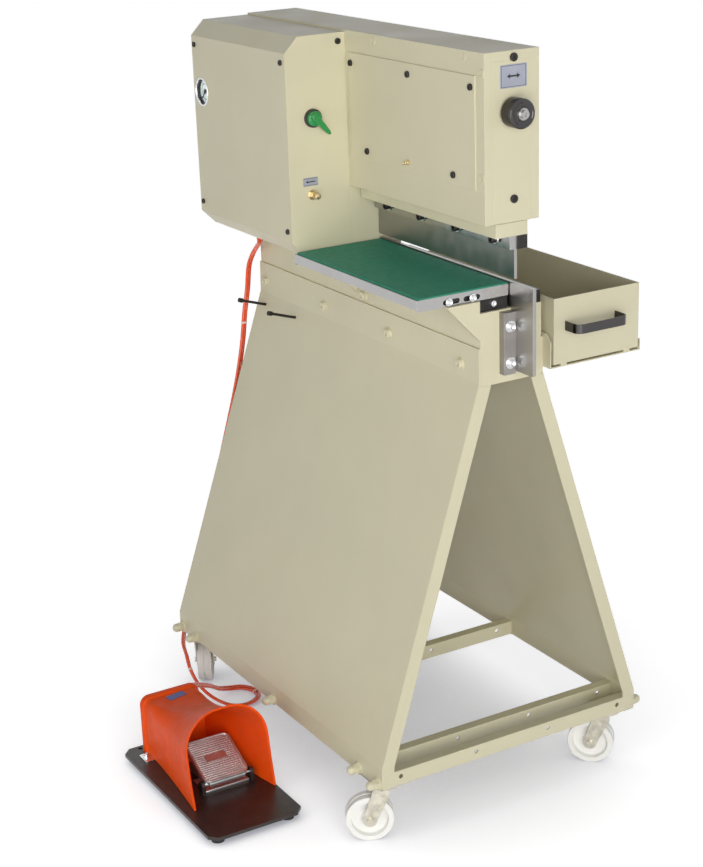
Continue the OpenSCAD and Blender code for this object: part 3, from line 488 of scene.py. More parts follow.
def lathe(profile: Sequence[Point2], segments: int = 40) -> Form:
    """Turns a profile about the Z axis.

    Args:
        profile: Radius and height of each point; a radius of 0 closes the form.
        segments: Steps round the axis.

    Returns:
        The turned form.
    """
    form = Form()
    rings: list[list[int]] = []
    for radius, height in profile:
        start = len(form.verts)
        if radius < 1e-6:
            form.verts.append(Vector((0, 0, height)))
            rings.append([start] * segments)
            continue
        for k in range(segments):
            angle = math.tau * k / segments
            form.verts.append(Vector((radius * math.cos(angle), radius * math.sin(angle), height)))
        rings.append(list(range(start, start + segments)))
    for lower, upper in zip(rings, rings[1:]):
        for k in range(segments):
            face = [lower[k], lower[(k + 1) % segments], upper[(k + 1) % segments], upper[k]]
            form.faces.append(tuple(dict.fromkeys(face)))
    return form


def prism(outline: Sequence[Point2], height: float, base: float = 0.0) -> Form:
    """Extrudes an outline along Z.

    Args:
        outline: Points, counter-clockwise.
        height: Height of the prism.
        base: Height of its foot.

    Returns:
        The prism.
    """
    n = len(outline)
    form = Form([Vector((x, y, base)) for x, y in outline]
                + [Vector((x, y, base + height)) for x, y in outline])
    form.faces = [tuple(reversed(range(n))), tuple(range(n, 2 * n))]
    form.faces += [(k, (k + 1) % n, (k + 1) % n + n, k + n) for k in range(n)]
    return form


def block(x0: float, y0: float, z0: float, x1: float, y1: float, z1: float) -> Form:
    """Returns the box between two corners."""
    return prism([(x0, y0), (x1, y0), (x1, y1), (x0, y1)], z1 - z0, z0)


def polygon(sides: int, radius: float, turn: float = 0.0) -> list[Point2]:
    """Returns the corners of a regular polygon."""
    return [(radius * math.cos(math.tau * k / sides + turn), radius * math.sin(math.tau * k / sides + turn))
            for k in range(sides)]


def rounded_box(width: float, height: float, corner: float, steps: int = 5) -> list[Point2]:
    """Outline of a rectangle with round corners, about its middle.

    Args:
        width: Width.
        height: Height.
        corner: Radius of the corners.
        steps: Points in each corner.

    Returns:
        The outline, counter-clockwise.
    """
    outline = []
    for sx, sy, first in ((1, 1, 0), (-1, 1, 90), (-1, -1, 180), (1, -1, 270)):
        for k in range(steps + 1):
            angle = math.radians(first + 90 * k / steps)
            outline.append((sx * (width / 2 - corner) + corner * math.cos(angle),
                            sy * (height / 2 - corner) + corner * math.sin(angle)))
    return outline


def loft(rings: Sequence[Sequence[Vector]], closed: bool = True) -> Form:
    """Skins rings of equally many points.

    Args:
        rings: The rings, in order.
        closed: Whether a ring closes on itself.

    Returns:
        The skin, with its end faces left open.
    """
    n = len(rings[0])
    form = Form([Vector(p) for ring in rings for p in ring])
    reach = n if closed else n - 1
    for i in range(len(rings) - 1):
        for k in range(reach):
            a, b = i * n + k, i * n + (k + 1) % n
            form.faces.append((a, b, b + n, a + n))
    return form


def capped(form: Form, ring: int) -> Form:
    """Closes the first and last ring of a loft.

    Args:
        form: The loft.
        ring: Points in a ring.

    Returns:
        The closed form.
    """
    last = len(form.verts) - ring
    form.faces.append(tuple(reversed(range(ring))))
    form.faces.append(tuple(range(last, last + ring)))
    return form


@dataclass
class Dressing:
    """Where a form goes and what it becomes."""

    body: str
    finish: Finish
    bevel_mm: float = 0.0
    crease: float = 32.0
    stands_for: tuple[str, ...] = ()


def make(name: str, form: Form, dressing: Dressing) -> bpy.types.Object:
    """Makes a piece in the frame and lets it ride on its body.

    Args:
        name: Name of the piece.
        form: Its form, in millimetres from the machine's datum.
        dressing: Body, finish and edges.

    Returns:
        The piece.
    """
    mesh = bpy.data.meshes.new(name)
    mesh.from_pydata([at(*v) for v in form.verts], [], form.faces)
    mesh.validate()
    mesh.materials.append(dressing.finish.material())
    sharpen(mesh, dressing.crease)
    piece = bpy.data.objects.new(name, mesh)
    bpy.context.collection.objects.link(piece)
    if dressing.bevel_mm:
        bevel = piece.modifiers.new("edges", "BEVEL")
        bevel.width = dressing.bevel_mm * MM
        bevel.segments = 3
        bevel.limit_method = "ANGLE"
        bevel.angle_limit = math.radians(dressing.crease)
    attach(piece, dressing.body)
    if dressing.stands_for:
        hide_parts(*dressing.stands_for)
    log.info("%s: %d faces on %s", name, len(mesh.polygons), dressing.body)
    return piece


def sharpen(mesh: bpy.types.Mesh, crease: float) -> None:
    """Shades a mesh smooth, apart from the edges that turn more than the crease.

    Args:
        mesh: The mesh.
        crease: Angle in degrees.
    """
    normals: dict[tuple[int, int], list[Vector]] = {}
    for face in mesh.polygons:
        face.use_smooth = True
        for edge in face.edge_keys:
            normals.setdefault(edge, []).append(face.normal)
    limit = math.cos(math.radians(crease))
    for edge in mesh.edges:
        pair = normals.get(edge.key, [])
        edge.use_edge_sharp = len(pair) == 2 and pair[0].dot(pair[1]) < limit


# ------------------------------------------------------------------ studio


@dataclass
class Studio:
    """Camera, soft lights, pale floor and white surroundings."""

    eye: tuple[float, float, float] = (-1591.3, -2250.4, 1636.1)
    azimuth: float = 29.08
    elevation: float = -20.23
    roll: float = -2.36
    lens: float = 76.83
    shift: tuple[float, float] = (0.0322, 0.0389)
    floor_half: float = 30.0
    shadow_reach: float = 0.8
    shadow: Colour = (0.12, 0.13, 0.17)
    gain: float = 0.6
    floor_glow: float = 0.93

    def build(self) -> None:
        """Builds the camera, the lights, the floor and the world."""
        self.camera()
        self.floor()
        self.world()
        self.lamp("front_softbox", at(-1300, -3000, 1150), at(0, 300, 800), 2.6, 92.0, (1.0, 0.985, 0.955))
        self.lamp("left_softbox", at(-3300, -300, 1250), at(0, 300, 800), 2.6, 29.0, (1.0, 0.985, 0.955))
        self.lamp("right_softbox", at(2800, -1600, 1500), at(0, 300, 600), 2.4, 6.0, (0.97, 0.98, 1.0))

    def camera(self) -> None:
        """Sets the camera at the viewing angle."""
        az, el, roll = (math.radians(a) for a in (self.azimuth, self.elevation, self.roll))
        side = Vector((math.cos(az), -math.sin(az), 0.0))
        ahead = Vector((math.sin(az) * math.cos(el), math.cos(az) * math.cos(el), math.sin(el)))
        over = side.cross(ahead)
        right = side * math.cos(roll) + over * math.sin(roll)
        up = over * math.cos(roll) - side * math.sin(roll)
        data = bpy.data.cameras.new("camera")
        data.lens = self.lens
        data.sensor_width = 36.0
        data.shift_x, data.shift_y = self.shift
        camera = bpy.data.objects.new("camera", data)
        matrix = Matrix((right, up, -ahead)).transposed().to_4x4()
        matrix.translation = at(*self.eye)
        camera.matrix_world = matrix
        bpy.context.collection.objects.link(camera)
        bpy.context.scene.camera = camera

    def lamp(self, name: str, place: Vector, target: Vector, size: float, power: float,
             colour: Colour) -> None:
        """Adds a square soft light that looks at a target.

        Args:
            name: Name of the light.
            place: Where it stands.
            target: Where it looks.
            size: Side in metres.
            power: Power in watts.
            colour: Colour of its light.
        """
        data = bpy.data.lights.new(name, "AREA")
        data.shape = "SQUARE"
        data.size = size
        data.energy = power
        data.color = colour
        light = bpy.data.objects.new(name, data)
        light.location = place
        light.rotation_euler = (target - place).to_track_quat("-Z", "Y").to_euler()
        bpy.context.collection.objects.link(light)

    def seen_straight(self, tree: bpy.types.NodeTree) -> bpy.types.NodeSocket:
        """Share of rays that show the background: camera, glossy and transmission rays.

        Args:
            tree: The node tree.

        Returns:
            1 for such a ray, else 0.
        """
        path = tree.nodes.new("ShaderNodeLightPath")
        first = tree.nodes.new("ShaderNodeMath")
        first.operation = "MAXIMUM"
        tree.links.new(path.outputs["Is Camera Ray"], first.inputs[0])
        tree.links.new(path.outputs["Is Glossy Ray"], first.inputs[1])
        second = tree.nodes.new("ShaderNodeMath")
        second.operation = "MAXIMUM"
        tree.links.new(first.outputs[0], second.inputs[0])
        tree.links.new(path.outputs["Is Transmission Ray"], second.inputs[1])
        return second.outputs[0]

    def floor(self) -> None:
        """Lays the floor: white to the camera, with a painted shadow where the machine stands over it."""
        half = self.floor_half
        mesh = bpy.data.meshes.new("studio_floor")
        mesh.from_pydata([(-half, -half, 0), (half, -half, 0), (half, half, 0), (-half, half, 0)], [],
                         [(0, 1, 2, 3)])
        piece = bpy.data.objects.new("studio_floor", mesh)
        bpy.context.collection.objects.link(piece)
        material = bpy.data.materials.new("pale_floor")
        material.use_nodes = True
        tree = material.node_tree
        shader = tree.nodes["Principled BSDF"]
        shader.inputs["Base Color"].default_value = (0.82, 0.82, 0.84, 1)
        shader.inputs["Roughness"].default_value = 0.9
        # Painted shadow: ambient occlusion tints the floor's glow toward the shadow colour under the machine.
        near = tree.nodes.new("ShaderNodeAmbientOcclusion")
        near.inputs["Distance"].default_value = self.shadow_reach
        near.samples = 16
        painted_shadow_tint = tree.nodes.new("ShaderNodeMix")
        painted_shadow_tint.data_type = "RGBA"
        tree.links.new(near.outputs["AO"], painted_shadow_tint.inputs[0])
        painted_shadow_tint.inputs[6].default_value = (*self.shadow, 1)
        painted_shadow_tint.inputs[7].default_value = (1, 1, 1, 1)
        glow = tree.nodes.new("ShaderNodeEmission")
        tree.links.new(painted_shadow_tint.outputs[2], glow.inputs["Color"])
        glow.inputs["Strength"].default_value = self.floor_glow
        lit = tree.nodes.new("ShaderNodeBsdfDiffuse")
        lit.inputs["Color"].default_value = (self.gain, self.gain, self.gain, 1)
        both = tree.nodes.new("ShaderNodeAddShader")
        tree.links.new(lit.outputs[0], both.inputs[0])
        tree.links.new(glow.outputs[0], both.inputs[1])
        mix = tree.nodes.new("ShaderNodeMixShader")
        tree.links.new(self.seen_straight(tree), mix.inputs[0])
        tree.links.new(shader.outputs[0], mix.inputs[1])
        tree.links.new(both.outputs[0], mix.inputs[2])
        tree.links.new(mix.outputs[0], tree.nodes["Material Output"].inputs["Surface"])
        mesh.materials.append(material)

    def world(self) -> None:
        """Surrounds the scene with soft light that is weaker and bluer overhead."""
        world = bpy.data.worlds.new("white_studio")
        bpy.context.scene.world = world
        world.use_nodes = True
        tree = world.node_tree
        soft = tree.nodes["Background"]
        place = tree.nodes.new("ShaderNodeTexCoord")
        split = tree.nodes.new("ShaderNodeSeparateXYZ")
        tree.links.new(place.outputs["Generated"], split.inputs[0])
        ramp = tree.nodes.new("ShaderNodeValToRGB")
        ramp.color_ramp.elements[0].position = 0.05
        ramp.color_ramp.elements[0].color = (0.95, 0.94, 0.92, 1)
        ramp.color_ramp.elements[1].position = 0.3
        ramp.color_ramp.elements[1].color = (0.08, 0.08, 0.10, 1)
        tree.links.new(split.outputs["Z"], ramp.inputs[0])
        tree.links.new(ramp.outputs[0], soft.inputs["Color"])
        soft.inputs["Strength"].default_value = 1.0
        white = tree.nodes.new("ShaderNodeBackground")
        white.inputs["Color"].default_value = (1, 1, 1, 1)
        mix = tree.nodes.new("ShaderNodeMixShader")
        tree.links.new(self.seen_straight(tree), mix.inputs[0])
        tree.links.new(soft.outputs[0], mix.inputs[1])
        tree.links.new(white.outputs[0], mix.inputs[2])
        tree.links.new(mix.outputs[0], tree.nodes["World Output"].inputs["Surface"])
        bpy.context.scene.view_settings.view_transform = "Standard"


# -------------------------------------------------------------------- hose


def smooth_route(points: Sequence[Vector], steps: int) -> list[Vector]:
    """Smooth curve through points.

    Args:
        points: The points.
        steps: Steps between two points.

    Returns:
        The points of the curve.
    """
    last = len(points) - 1
    curve = []
    for i in range(last):
        a, b, c, d = (points[max(i - 1, 0)], points[i], points[i + 1], points[min(i + 2, last)])
        for k in range(steps):
            u = k / steps
            curve.append(0.5 * (2 * b + (c - a) * u + (2 * a - 5 * b + 4 * c - d) * u * u
                                + (3 * b - 3 * c + d - a) * u ** 3))
    return curve + [points[last]]


def carried_frames(curve: Sequence[Vector], first: Vector) -> list[tuple[Vector, Vector]]:
    """Two directions across a curve, carried along it without twist.

    Args:
        curve: The points of the curve.
        first: Direction to start from.

    Returns:
        The two directions at each point.
    """
    frames = []
    across = first
    for i in range(len(curve)):
        ahead = (curve[min(i + 1, len(curve) - 1)] - curve[max(i - 1, 0)]).normalized()
        across = (across - across.dot(ahead) * ahead).normalized()
        frames.append((across, ahead.cross(across)))
    return frames


def tube(curve: Sequence[Vector], radius: float, sides: int = 14, first: Vector = Vector((0, 1, 0))) -> Form:
    """Round tube along a curve.

    Args:
        curve: The points of its middle line.
        radius: Radius.
        sides: Sides of the tube.
        first: Direction from which its sides are counted.

    Returns:
        The tube with closed ends.
    """
    rings = []
    for point, (a, b) in zip(curve, carried_frames(curve, first)):
        rings.append([point + radius * (math.cos(math.tau * k / sides) * a + math.sin(math.tau * k / sides) * b)
                      for k in range(sides)])
    return capped(loft(rings), sides)


@dataclass
class AirHose:
    """Flat pair of tubes from the control box down to the pedal, with its clear ties."""

    width: float = 12.0
    steps: int = 6
    route: tuple[tuple[float, float, float], ...] = (
        (-84, 664, 888), (-81, 668, 874), (-75, 680, 862), (-70, 700, 850), (-69, 722, 830),
        (-70, 738, 804), (-72, 745, 760), (-80, 746, 715), (-87, 749, 655), (-104, 751, 575),
        (-134, 753, 470), (-170, 756, 350), (-202, 758, 240), (-222, 762, 160), (-230, 764, 122),
        (-244, 756, 101), (-266, 718, 92), (-277, 682, 84), (-283, 655, 67), (-278, 632, 43),
        (-262, 608, 22), (-236, 586, 8), (-206, 576, 6), (-178, 588, 6), (-168, 614, 6),
        (-182, 640, 7), (-208, 646, 10), (-236, 636, 22), (-264, 616, 44), (-296, 594, 64),
        (-326, 568, 82), (-350, 541, 97), (-364, 524, 105), (-370, 512, 108))

    def build(self) -> None:
        curve = smooth_route([Vector(p) for p in self.route], self.steps)
        frames = carried_frames(curve, Vector((0, 1, 0)))
        radius = self.width / 4
        pair = merged(tube([p + side * radius * 0.96 * b for p, (_, b) in zip(curve, frames)], radius)
                      for side in (-1, 1))
        hose = make("air_hose_pair", pair, Dressing("stand", Finishes.hose, crease=60,
                                                    stands_for=("air_hose",)))
        ties = [self.tie(k, curve, frames, i) for k, i in enumerate((7 * self.steps + 2, 18 * self.steps,
                                                                    24 * self.steps))]

    def tie(self, number: int, curve: Sequence[Vector], frames: Sequence[tuple[Vector, Vector]],
            i: int) -> bpy.types.Object:
        """Short clear sleeve that holds the pair together.

        Args:
            number: Number of the tie.
            curve: Middle line of the hose.
            frames: Directions across it.
            i: Index of the point that the tie sits on.

        Returns:
            The tie.
        """
        rings = []
        for along, grow in ((-2.0, 0.15), (-1.6, 0.5), (1.6, 0.5), (2.0, 0.15)):
            a, b = frames[i]
            ahead = (curve[i + 1] - curve[i - 1]).normalized()
            half, r = self.width / 4 * 0.96, self.width / 4 + grow
            ring = []
            for k in range(24):
                angle = math.tau * k / 24
                side = half if math.sin(angle) >= 0 else -half
                ring.append(curve[i] + ahead * along + a * r * math.cos(angle)
                            + b * (side + r * math.sin(angle)))
            rings.append(ring)
        return make(f"hose_tie_{number + 1}", capped(loft(rings), 24), Dressing("stand", Finishes.band))


# -------------------------------------------------------------- fasteners


def socket_screw(radius: float, height: float) -> Form:
    """Socket head that stands on its seat along +Z.

    Args:
        radius: Radius of the head.
        height: Height of the head.

    Returns:
        The head with its hexagon recess.
    """
    edge = radius * 0.12
    outside = lathe([(radius, 0), (radius, height - edge), (radius - edge, height),
                     (radius * 0.66, height)], 36)
    rim = [Vector((x, y, height)) for x, y in polygon(36, radius * 0.66)]
    floor_ring = []
    for k in range(36):
        angle = math.tau * k / 36
        flat = radius * 0.5 / math.cos((angle % (math.pi / 3)) - math.pi / 6)
        floor_ring.append(Vector((flat * math.cos(angle), flat * math.sin(angle), height - edge)))
    deep = [Vector((p.x, p.y, height * 0.45)) for p in floor_ring]
    well = loft([rim, floor_ring, deep])
    well.faces.append(tuple(len(well.verts) - 36 + k for k in range(36)))
    return outside.joined(well)


def washer(radius: float, height: float) -> Form:
    """Returns a washer that stands on its seat along +Z."""
    edge = min(0.4, height / 3)
    return lathe([(radius, 0), (radius, height - edge), (radius - edge, height), (0, height)], 36)


def seated(form: Form, facing: Facing, x: float, y: float, z: float) -> Form:
    """Returns a form turned to face a side and seated at a place."""
    return form.turned(Matrix.Translation((x, y, z)) @ facing.value)


def dome_nut(tip: float = 22.0) -> Form:
    """Dome nut on its washer, along +Z.

    Args:
        tip: Height of the dome over the seat.

    Returns:
        The nut.
    """
    dome = 8.0
    cap = [(dome, 11.0), (dome, tip - dome)]
    cap += [(dome * math.cos(math.radians(a)), tip - dome + dome * math.sin(math.radians(a)))
            for a in range(12, 90, 13)] + [(0, tip)]
    hexagon = prism(polygon(6, 9.4), 7.6, 2.0)
    collar = lathe([(9.4 * 0.87, 9.6), (dome, 11.0)], 36)
    return washer(11, 2).joined(hexagon, collar, lathe(cap, 36))


@dataclass
class Fasteners:
    """Screws, washers, bolts and nuts that show."""

    plate_left: float = -54.0
    cover_left: float = -56.0
    front: float = -11.0
    box_left: float = -167.0
    skirt: float = 256.0
    flange: float = 60.0

    def build(self) -> None:
        """Builds the groups of fasteners."""
        black = Dressing("stand", Finishes.black, stands_for=("socket_screws",))
        make("black_socket_screws", self.black_screws(), black)
        make("zinc_block_screws", self.block_screws(), Dressing("stand", Finishes.nickel))
        make("slot_screws", self.slot_screws(), Dressing("stand", Finishes.nickel))
        make("painted_nuts_and_bolts", self.painted(),
             Dressing("stand", Finishes.cream, stands_for=("painted_bolts",)))
        make("strip_screw_heads", self.strip_heads(), Dressing("ram", Finishes.black,
                                                              stands_for=("blade_screws",)))
        make("strip_screw_washers", self.strip_washers(), Dressing("ram", Finishes.nickel))

    def black_screws(self) -> Form:
        """Dark screws of the cover, the end face, the control box and the two hanger posts.

        Returns:
            The screws.
        """
        forms = []
        for y, z in ((365, 1213), (193, 1213), (21, 1213), (320, 1076), (69, 1076)):
            forms.append(seated(socket_screw(5.2, 3.4), Facing.LEFT, self.cover_left, y, z))
        for x, z in ((-2, 1254), (-2, 1045)):
            forms.append(seated(socket_screw(6.4, 3.5), Facing.FRONT, x, self.front, z))
        for y in (398, 711):
            for z in (945, 1221):
                forms.append(seated(socket_screw(4.6, 3.0), Facing.LEFT, self.box_left, y, z))
        forms.append(seated(socket_screw(5.0, 3.2), Facing.FRONT, -68, 385, 1247))
        tilt = Matrix.Rotation(-math.pi / 2 + math.atan(0.3192), 4, "Y")
        for y in (573, 685):
            post = merged([lathe([(2.5, 0), (2.5, 50)], 20), socket_screw(4.25, 8).moved(0, 0, 50)])
            place = Matrix.Translation((-self.flange - 0.3192 * 20, y, 742))
            forms.append(post.turned(place @ tilt))
        return merged(forms)

    def block_screws(self) -> Form:
        """Zinc screws with washers on the clamp block.

        Returns:
            The screws.
        """
        forms = []
        for z in (791, 849):
            forms.append(seated(washer(9.5, 1.6), Facing.FRONT, -10, -13, z))
            forms.append(seated(socket_screw(6.2, 5.6), Facing.FRONT, -10, -14.6, z))
        return merged(forms)

    def slot_screws(self) -> Form:
        """Screws in the slots of the table's front edge, and the one under it.

        Returns:
            The screws.
        """
        forms = [seated(socket_screw(4.8, 3.8), Facing.FRONT, -30, 5, 885)]
        for x in (-110, -67):
            forms.append(seated(washer(6.4, 1.2), Facing.FRONT, x, 4.7, 900))
            forms.append(seated(socket_screw(4.4, 3.6), Facing.FRONT, x, 3.5, 900))
        return merged(forms)

    def painted(self) -> Form:
        """Dome nuts on the skirts, bolts on the left panel and ring screws of the head.

        Returns:
            The fasteners.
        """
        forms = []
        for y in (13, 74, 369, 677, 735):
            forms.append(seated(dome_nut(), Facing.RIGHT, self.skirt, y, 120))
            forms.append(seated(dome_nut(), Facing.LEFT, -self.skirt, y, 120))
        bolt = merged([washer(9.5, 1.4), lathe([(7.6, 1.4), (7.6, 6.4), (6.8, 7.0), (3.6, 7.0), (3.4, 5.4),
                                                (0, 5.4)], 30)])
        for y in (50, 263, 476, 689):
            forms.append(seated(bolt, Facing.LEFT, -self.flange, y, 784))
        forms.append(seated(bolt, Facing.LEFT, -57, 343, 830))
        ring = lathe([(7.4, 0), (7.4, 0.7), (7.0, 1.0), (6.2, 1.0), (5.9, 0.4), (5.0, 0.4), (4.8, 0.9),
                      (2.6, 0.9), (2.4, -1.5), (0, -1.5)], 36)
        for y, z in ((297, 1254), (42, 1254), (-3, 1234), (-3, 1080)):
            forms.append(seated(ring, Facing.LEFT, self.plate_left, y, z))
        return merged(forms)

    def strip_heads(self) -> Form:
        """Returns the black heads of the clamp strip's screws."""
        return merged(seated(socket_screw(6, 8), Facing.LEFT, -9.5, 30 + 102 * i, 977.5) for i in range(4))

    def strip_washers(self) -> Form:
        """Returns the bright washers under those heads."""
        return merged(seated(washer(8.5, 1.5), Facing.LEFT, -8, 30 + 102 * i, 977.5) for i in range(4))


# -------------------------------------------------------------- assemblies


@dataclass
class Stand:
    """Folded panels, bars and casters."""

    def dress(self) -> None:
        """Paints the panels and bars, plates the forks and turns the wheels white."""
        for node in ("left_leg_panel", "right_leg_panel", "cross_bars"):
            paint(node, Finishes.cream)
        paint("caster_top_plates", Finishes.zinc)
        for i in range(1, 5):
            paint(f"caster_fork_{i}", Finishes.zinc)
            paint(f"caster_wheel_{i}", Finishes.nylon)


@dataclass
class BaseAndTable:
    """Casting, column, lower blade, its clamp and the sliding table."""

    def dress(self) -> None:
        """Gives each node its finish."""
        paint("base_casting", Finishes.casting)
        paint("rear_column", Finishes.casting)
        paint("lower_blade", Finishes.blade)
        paint("lower_clamp_block", Finishes.grey_block)
        paint("table_blocks", Finishes.black)
        paint("table_plate", Finishes.bright)
        paint("table_mat", Finishes.mat)


@dataclass
class Head:
    """Plates of the head, the ram with its blade, and the setting knob."""

    knob_x: float = -5.0
    knob_z: float = 1175.0
    face: float = -11.3
    knob_r: float = 22.5
    knob_l: float = 29.0

    def dress(self) -> None:
        """Paints the nodes and builds the knob, the setting plate and the grease nipple."""
        for side in ("left", "right", "top", "end", "rear"):
            paint(f"head_{side}_plate", Finishes.cream)
        paint("access_cover", Finishes.cream)
        paint("ram", Finishes.casting)
        for node in ("cam_pins", "stop_nut", "blade_clamp_strip", "gap_screw"):
            paint(node, Finishes.bright)
        for node in ("ram_guides", "cam_bar", "blade_holder"):
            paint(node, Finishes.black)
        paint("upper_blade", Finishes.blade)
        self.knob()
        self.setting_plate()
        self.nipple()

    def knob(self) -> None:
        """Turned black knob with a polished front ring."""
        r, length = self.knob_r, self.knob_l
        body = lathe([(4.3, 0), (r - 4, 0), (r - 4, 3), (r - 0.6, 3.2), (r, 4.0), (r, length - 3),
                      (r - 0.5, length - 1.6), (r - 2.2, length), (r - 5, length), (r - 6, length - 0.8),
                      (11, length - 0.8), (10.4, length), (4.3, length)], 96)
        make("gap_knob_turned", seated(body, Facing.FRONT, self.knob_x, self.face, self.knob_z),
             Dressing("gap_adjuster", Finishes.chrome_black, crease=28, stands_for=("gap_knob",)))

    def setting_plate(self) -> None:
        """Foil plate over the knob with a plain double arrow and a frame line."""
        width, height, z = 48.0, 34.0, 1227.0
        foil = prism(rounded_box(width, height, 1.5), 0.5)
        turned = seated(foil, Facing.FRONT, -2, -11, z)
        make("setting_plate", turned, Dressing("stand", Finishes.label, bevel_mm=0.1))
        arrow = [(-12, 0), (-6, 3.6), (-6, 1.3), (6, 1.3), (6, 3.6), (12, 0), (6, -3.6), (6, -1.3),
                 (-6, -1.3), (-6, -3.6)]
        marks = [prism(list(reversed(arrow)), 0.12, 0.5)]
        for y0, y1 in ((height / 2 - 2.0, height / 2 - 1.4), (1.4 - height / 2, 2.0 - height / 2)):
            marks.append(block(2 - width / 2, y0, 0.5, width / 2 - 2, y1, 0.62))
        for x0, x1 in ((2 - width / 2, 2.6 - width / 2), (width / 2 - 2.6, width / 2 - 2)):
            marks.append(block(x0, 1.4 - height / 2, 0.5, x1, height / 2 - 1.4, 0.62))
        make("setting_marks", seated(merged(marks), Facing.FRONT, -2, -11, z),
             Dressing("stand", Finishes.ink))

    def nipple(self) -> None:
        """Brass grease nipple on the access cover."""
        form = merged([prism(polygon(6, 4.6), 3.5),
                       lathe([(3.0, 3.5), (3.0, 6.5), (1.8, 7.4), (1.8, 8.4), (2.7, 9.2), (2.7, 10.4),
                              (1.6, 11.6), (0, 11.8)], 28)])
        make("grease_nipple", seated(form, Facing.LEFT, -56, 196, 1076), Dressing("stand", Finishes.brass))


@dataclass
class Controls:
    """Control box with its gauge, selector and speed valve."""

    left: float = -167.0
    front: float = 385.0
    gauge_y: float = 692.0
    gauge_z: float = 1141.0
    selector_x: float = -120.0
    selector_z: float = 1129.0
    valve_x: float = -124.5
    valve_z: float = 1003.5

    def dress(self) -> None:
        """Gives the nodes their finish and builds what shows on the box."""
        paint("control_box_cover", Finishes.cream)
        paint("pressure_gauge", Finishes.black_plastic)
        paint("gauge_needle", Finishes.black_plastic)
        paint("gauge_window", Finishes.pane)
        paint("selector_body", Finishes.black_plastic)
        for node in ("air_cylinder", "control_valve"):
            paint(node, Finishes.inner_aluminium)
        paint("cylinder_rod", Finishes.bright)
        paint("hose_fittings", Finishes.black_plastic)
        self.gauge()
        self.selector()
        self.valve()
        self.valve_label()

    def gauge(self) -> None:
        """Bright bezel, white dial and scale marks."""
        place = (self.left, self.gauge_y, self.gauge_z)
        bezel = lathe([(24.1, -0.5), (24.6, 0.4), (24.0, 1.2), (22.2, 1.4), (21.4, 0.6), (21.2, -6.0)], 64)
        make("gauge_bezel", seated(bezel, Facing.LEFT, *place), Dressing("stand", Finishes.nickel, crease=50))
        dial_finish = GaugeDial("gauge_dial", "white_nylon", (0.85, 0.85, 0.83), rough=0.5,
                                grain_mm=1.0, grain_depth_mm=0.002, blotch_mm=10, blotch=0.02,
                                edge_mm=0.1, middle=tuple(at(self.left + 7.5, self.gauge_y, self.gauge_z)))
        dial = lathe([(20.4, 0), (20.4, 0.4), (1.7, 0.4)], 64)
        make("gauge_dial", seated(dial, Facing.LEFT, self.left + 7.9, self.gauge_y, self.gauge_z),
             Dressing("stand", dial_finish))
        marks = []
        for k in range(28):
            angle = math.radians(225 - 10 * k)
            inner = 15.5 if k % 3 == 0 else 17.2
            mark = block(inner, -0.22, 0, 19.2, 0.22, 0.12)
            marks.append(mark.turned(Matrix.Rotation(angle, 4, "Z")))
        make("gauge_scale", seated(merged(marks), Facing.LEFT, self.left + 7.5, self.gauge_y, self.gauge_z),
             Dressing("stand", Finishes.ink))

    def selector(self) -> None:
        """Green selector with a tapered lever, in a polished black bezel."""
        place = Matrix.Translation((self.selector_x, self.front, self.selector_z)) @ Facing.FRONT.value
        bezel = lathe([(15.2, 0), (15.2, 3.0), (14.6, 5.0), (13.8, 5.8), (12.9, 5.8), (12.6, 5.2)], 64)
        make("selector_bezel", bezel.turned(place), Dressing("stand", Finishes.chrome_black, crease=40))
        disc = lathe([(12.3, 4.6), (12.3, 10.5), (11.4, 11.8), (9.0, 12.4), (0, 12.6)], 56)
        lever_ring = []
        for height, grow in ((11.6, 0.0), (16.6, -0.4), (18.4, -1.6)):
            outline = [(-8, -5.2), (6, -5.6), (30, -3.6), (34.6, -2.2), (36, 0), (34.6, 2.2), (30, 3.6),
                       (6, 5.6), (-8, 5.2), (-10.4, 3.2), (-11.2, 0), (-10.4, -3.2)]
            scale = 1 + grow / 12
            lever_ring.append([Vector((x * (1 if abs(x) > 20 else scale), y * scale, height))
                               for x, y in outline])
        lever = capped(loft(lever_ring), 12)
        whole = merged([disc, lever.turned(Matrix.Rotation(math.radians(-48), 4, "Z"))])
        make("selector_lever", whole.turned(place),
             Dressing("selector", Finishes.green, crease=40, bevel_mm=0.7, stands_for=("selector_knob",)))

    def valve(self) -> None:
        """Speed valve: hexagon, ring and knurled knob."""
        place = Matrix.Translation((self.valve_x, self.front, self.valve_z)) @ Facing.FRONT.value
        base = merged([washer(8.8, 1.0), prism(polygon(6, 7.4, 0.3), 4.6, 1.0),
                       lathe([(5.4, 5.6), (5.4, 6.9), (3.0, 6.9)], 32)])
        make("speed_valve_hexagon", base.turned(place),
             Dressing("stand", Finishes.brass, bevel_mm=0.25, stands_for=("speed_valve_body",)))
        knurl = []
        for k in range(60):
            angle = math.tau * k / 60
            r = 5.5 if k % 2 else 5.1
            knurl.append((r * math.cos(angle), r * math.sin(angle)))
        knob = merged([lathe([(4.6, 7.3), (5.2, 7.6), (5.2, 8.2)], 32), prism(knurl, 9.6, 8.2),
                       lathe([(5.1, 17.8), (4.4, 19.0), (2.4, 19.4), (0, 19.4)], 32)])
        make("speed_valve_knurled", knob.turned(place),
             Dressing("speed_valve", Finishes.brass, stands_for=("speed_valve_knob",)))

    def valve_label(self) -> None:
        """Small foil label with an arrow over the speed valve."""
        foil = prism(rounded_box(28, 14, 0.8), 0.4)
        make("valve_label", seated(foil, Facing.FRONT, -128, self.front, 1025.5),
             Dressing("stand", Finishes.label, bevel_mm=0.08))
        arrow = [(-9, 0), (-5, 2.6), (-5, 0.8), (9, 0.8), (9, -0.8), (-5, -0.8), (-5, -2.6)]
        line = [block(-12.6, y, 0.4, 12.6, y + 0.5, 0.5) for y in (-5.8, 5.3)]
        marks = merged([prism(list(reversed(arrow)), 0.1, 0.4), *line])
        make("valve_label_marks", seated(marks, Facing.FRONT, -128, self.front, 1025.5),
             Dressing("stand", Finishes.ink))


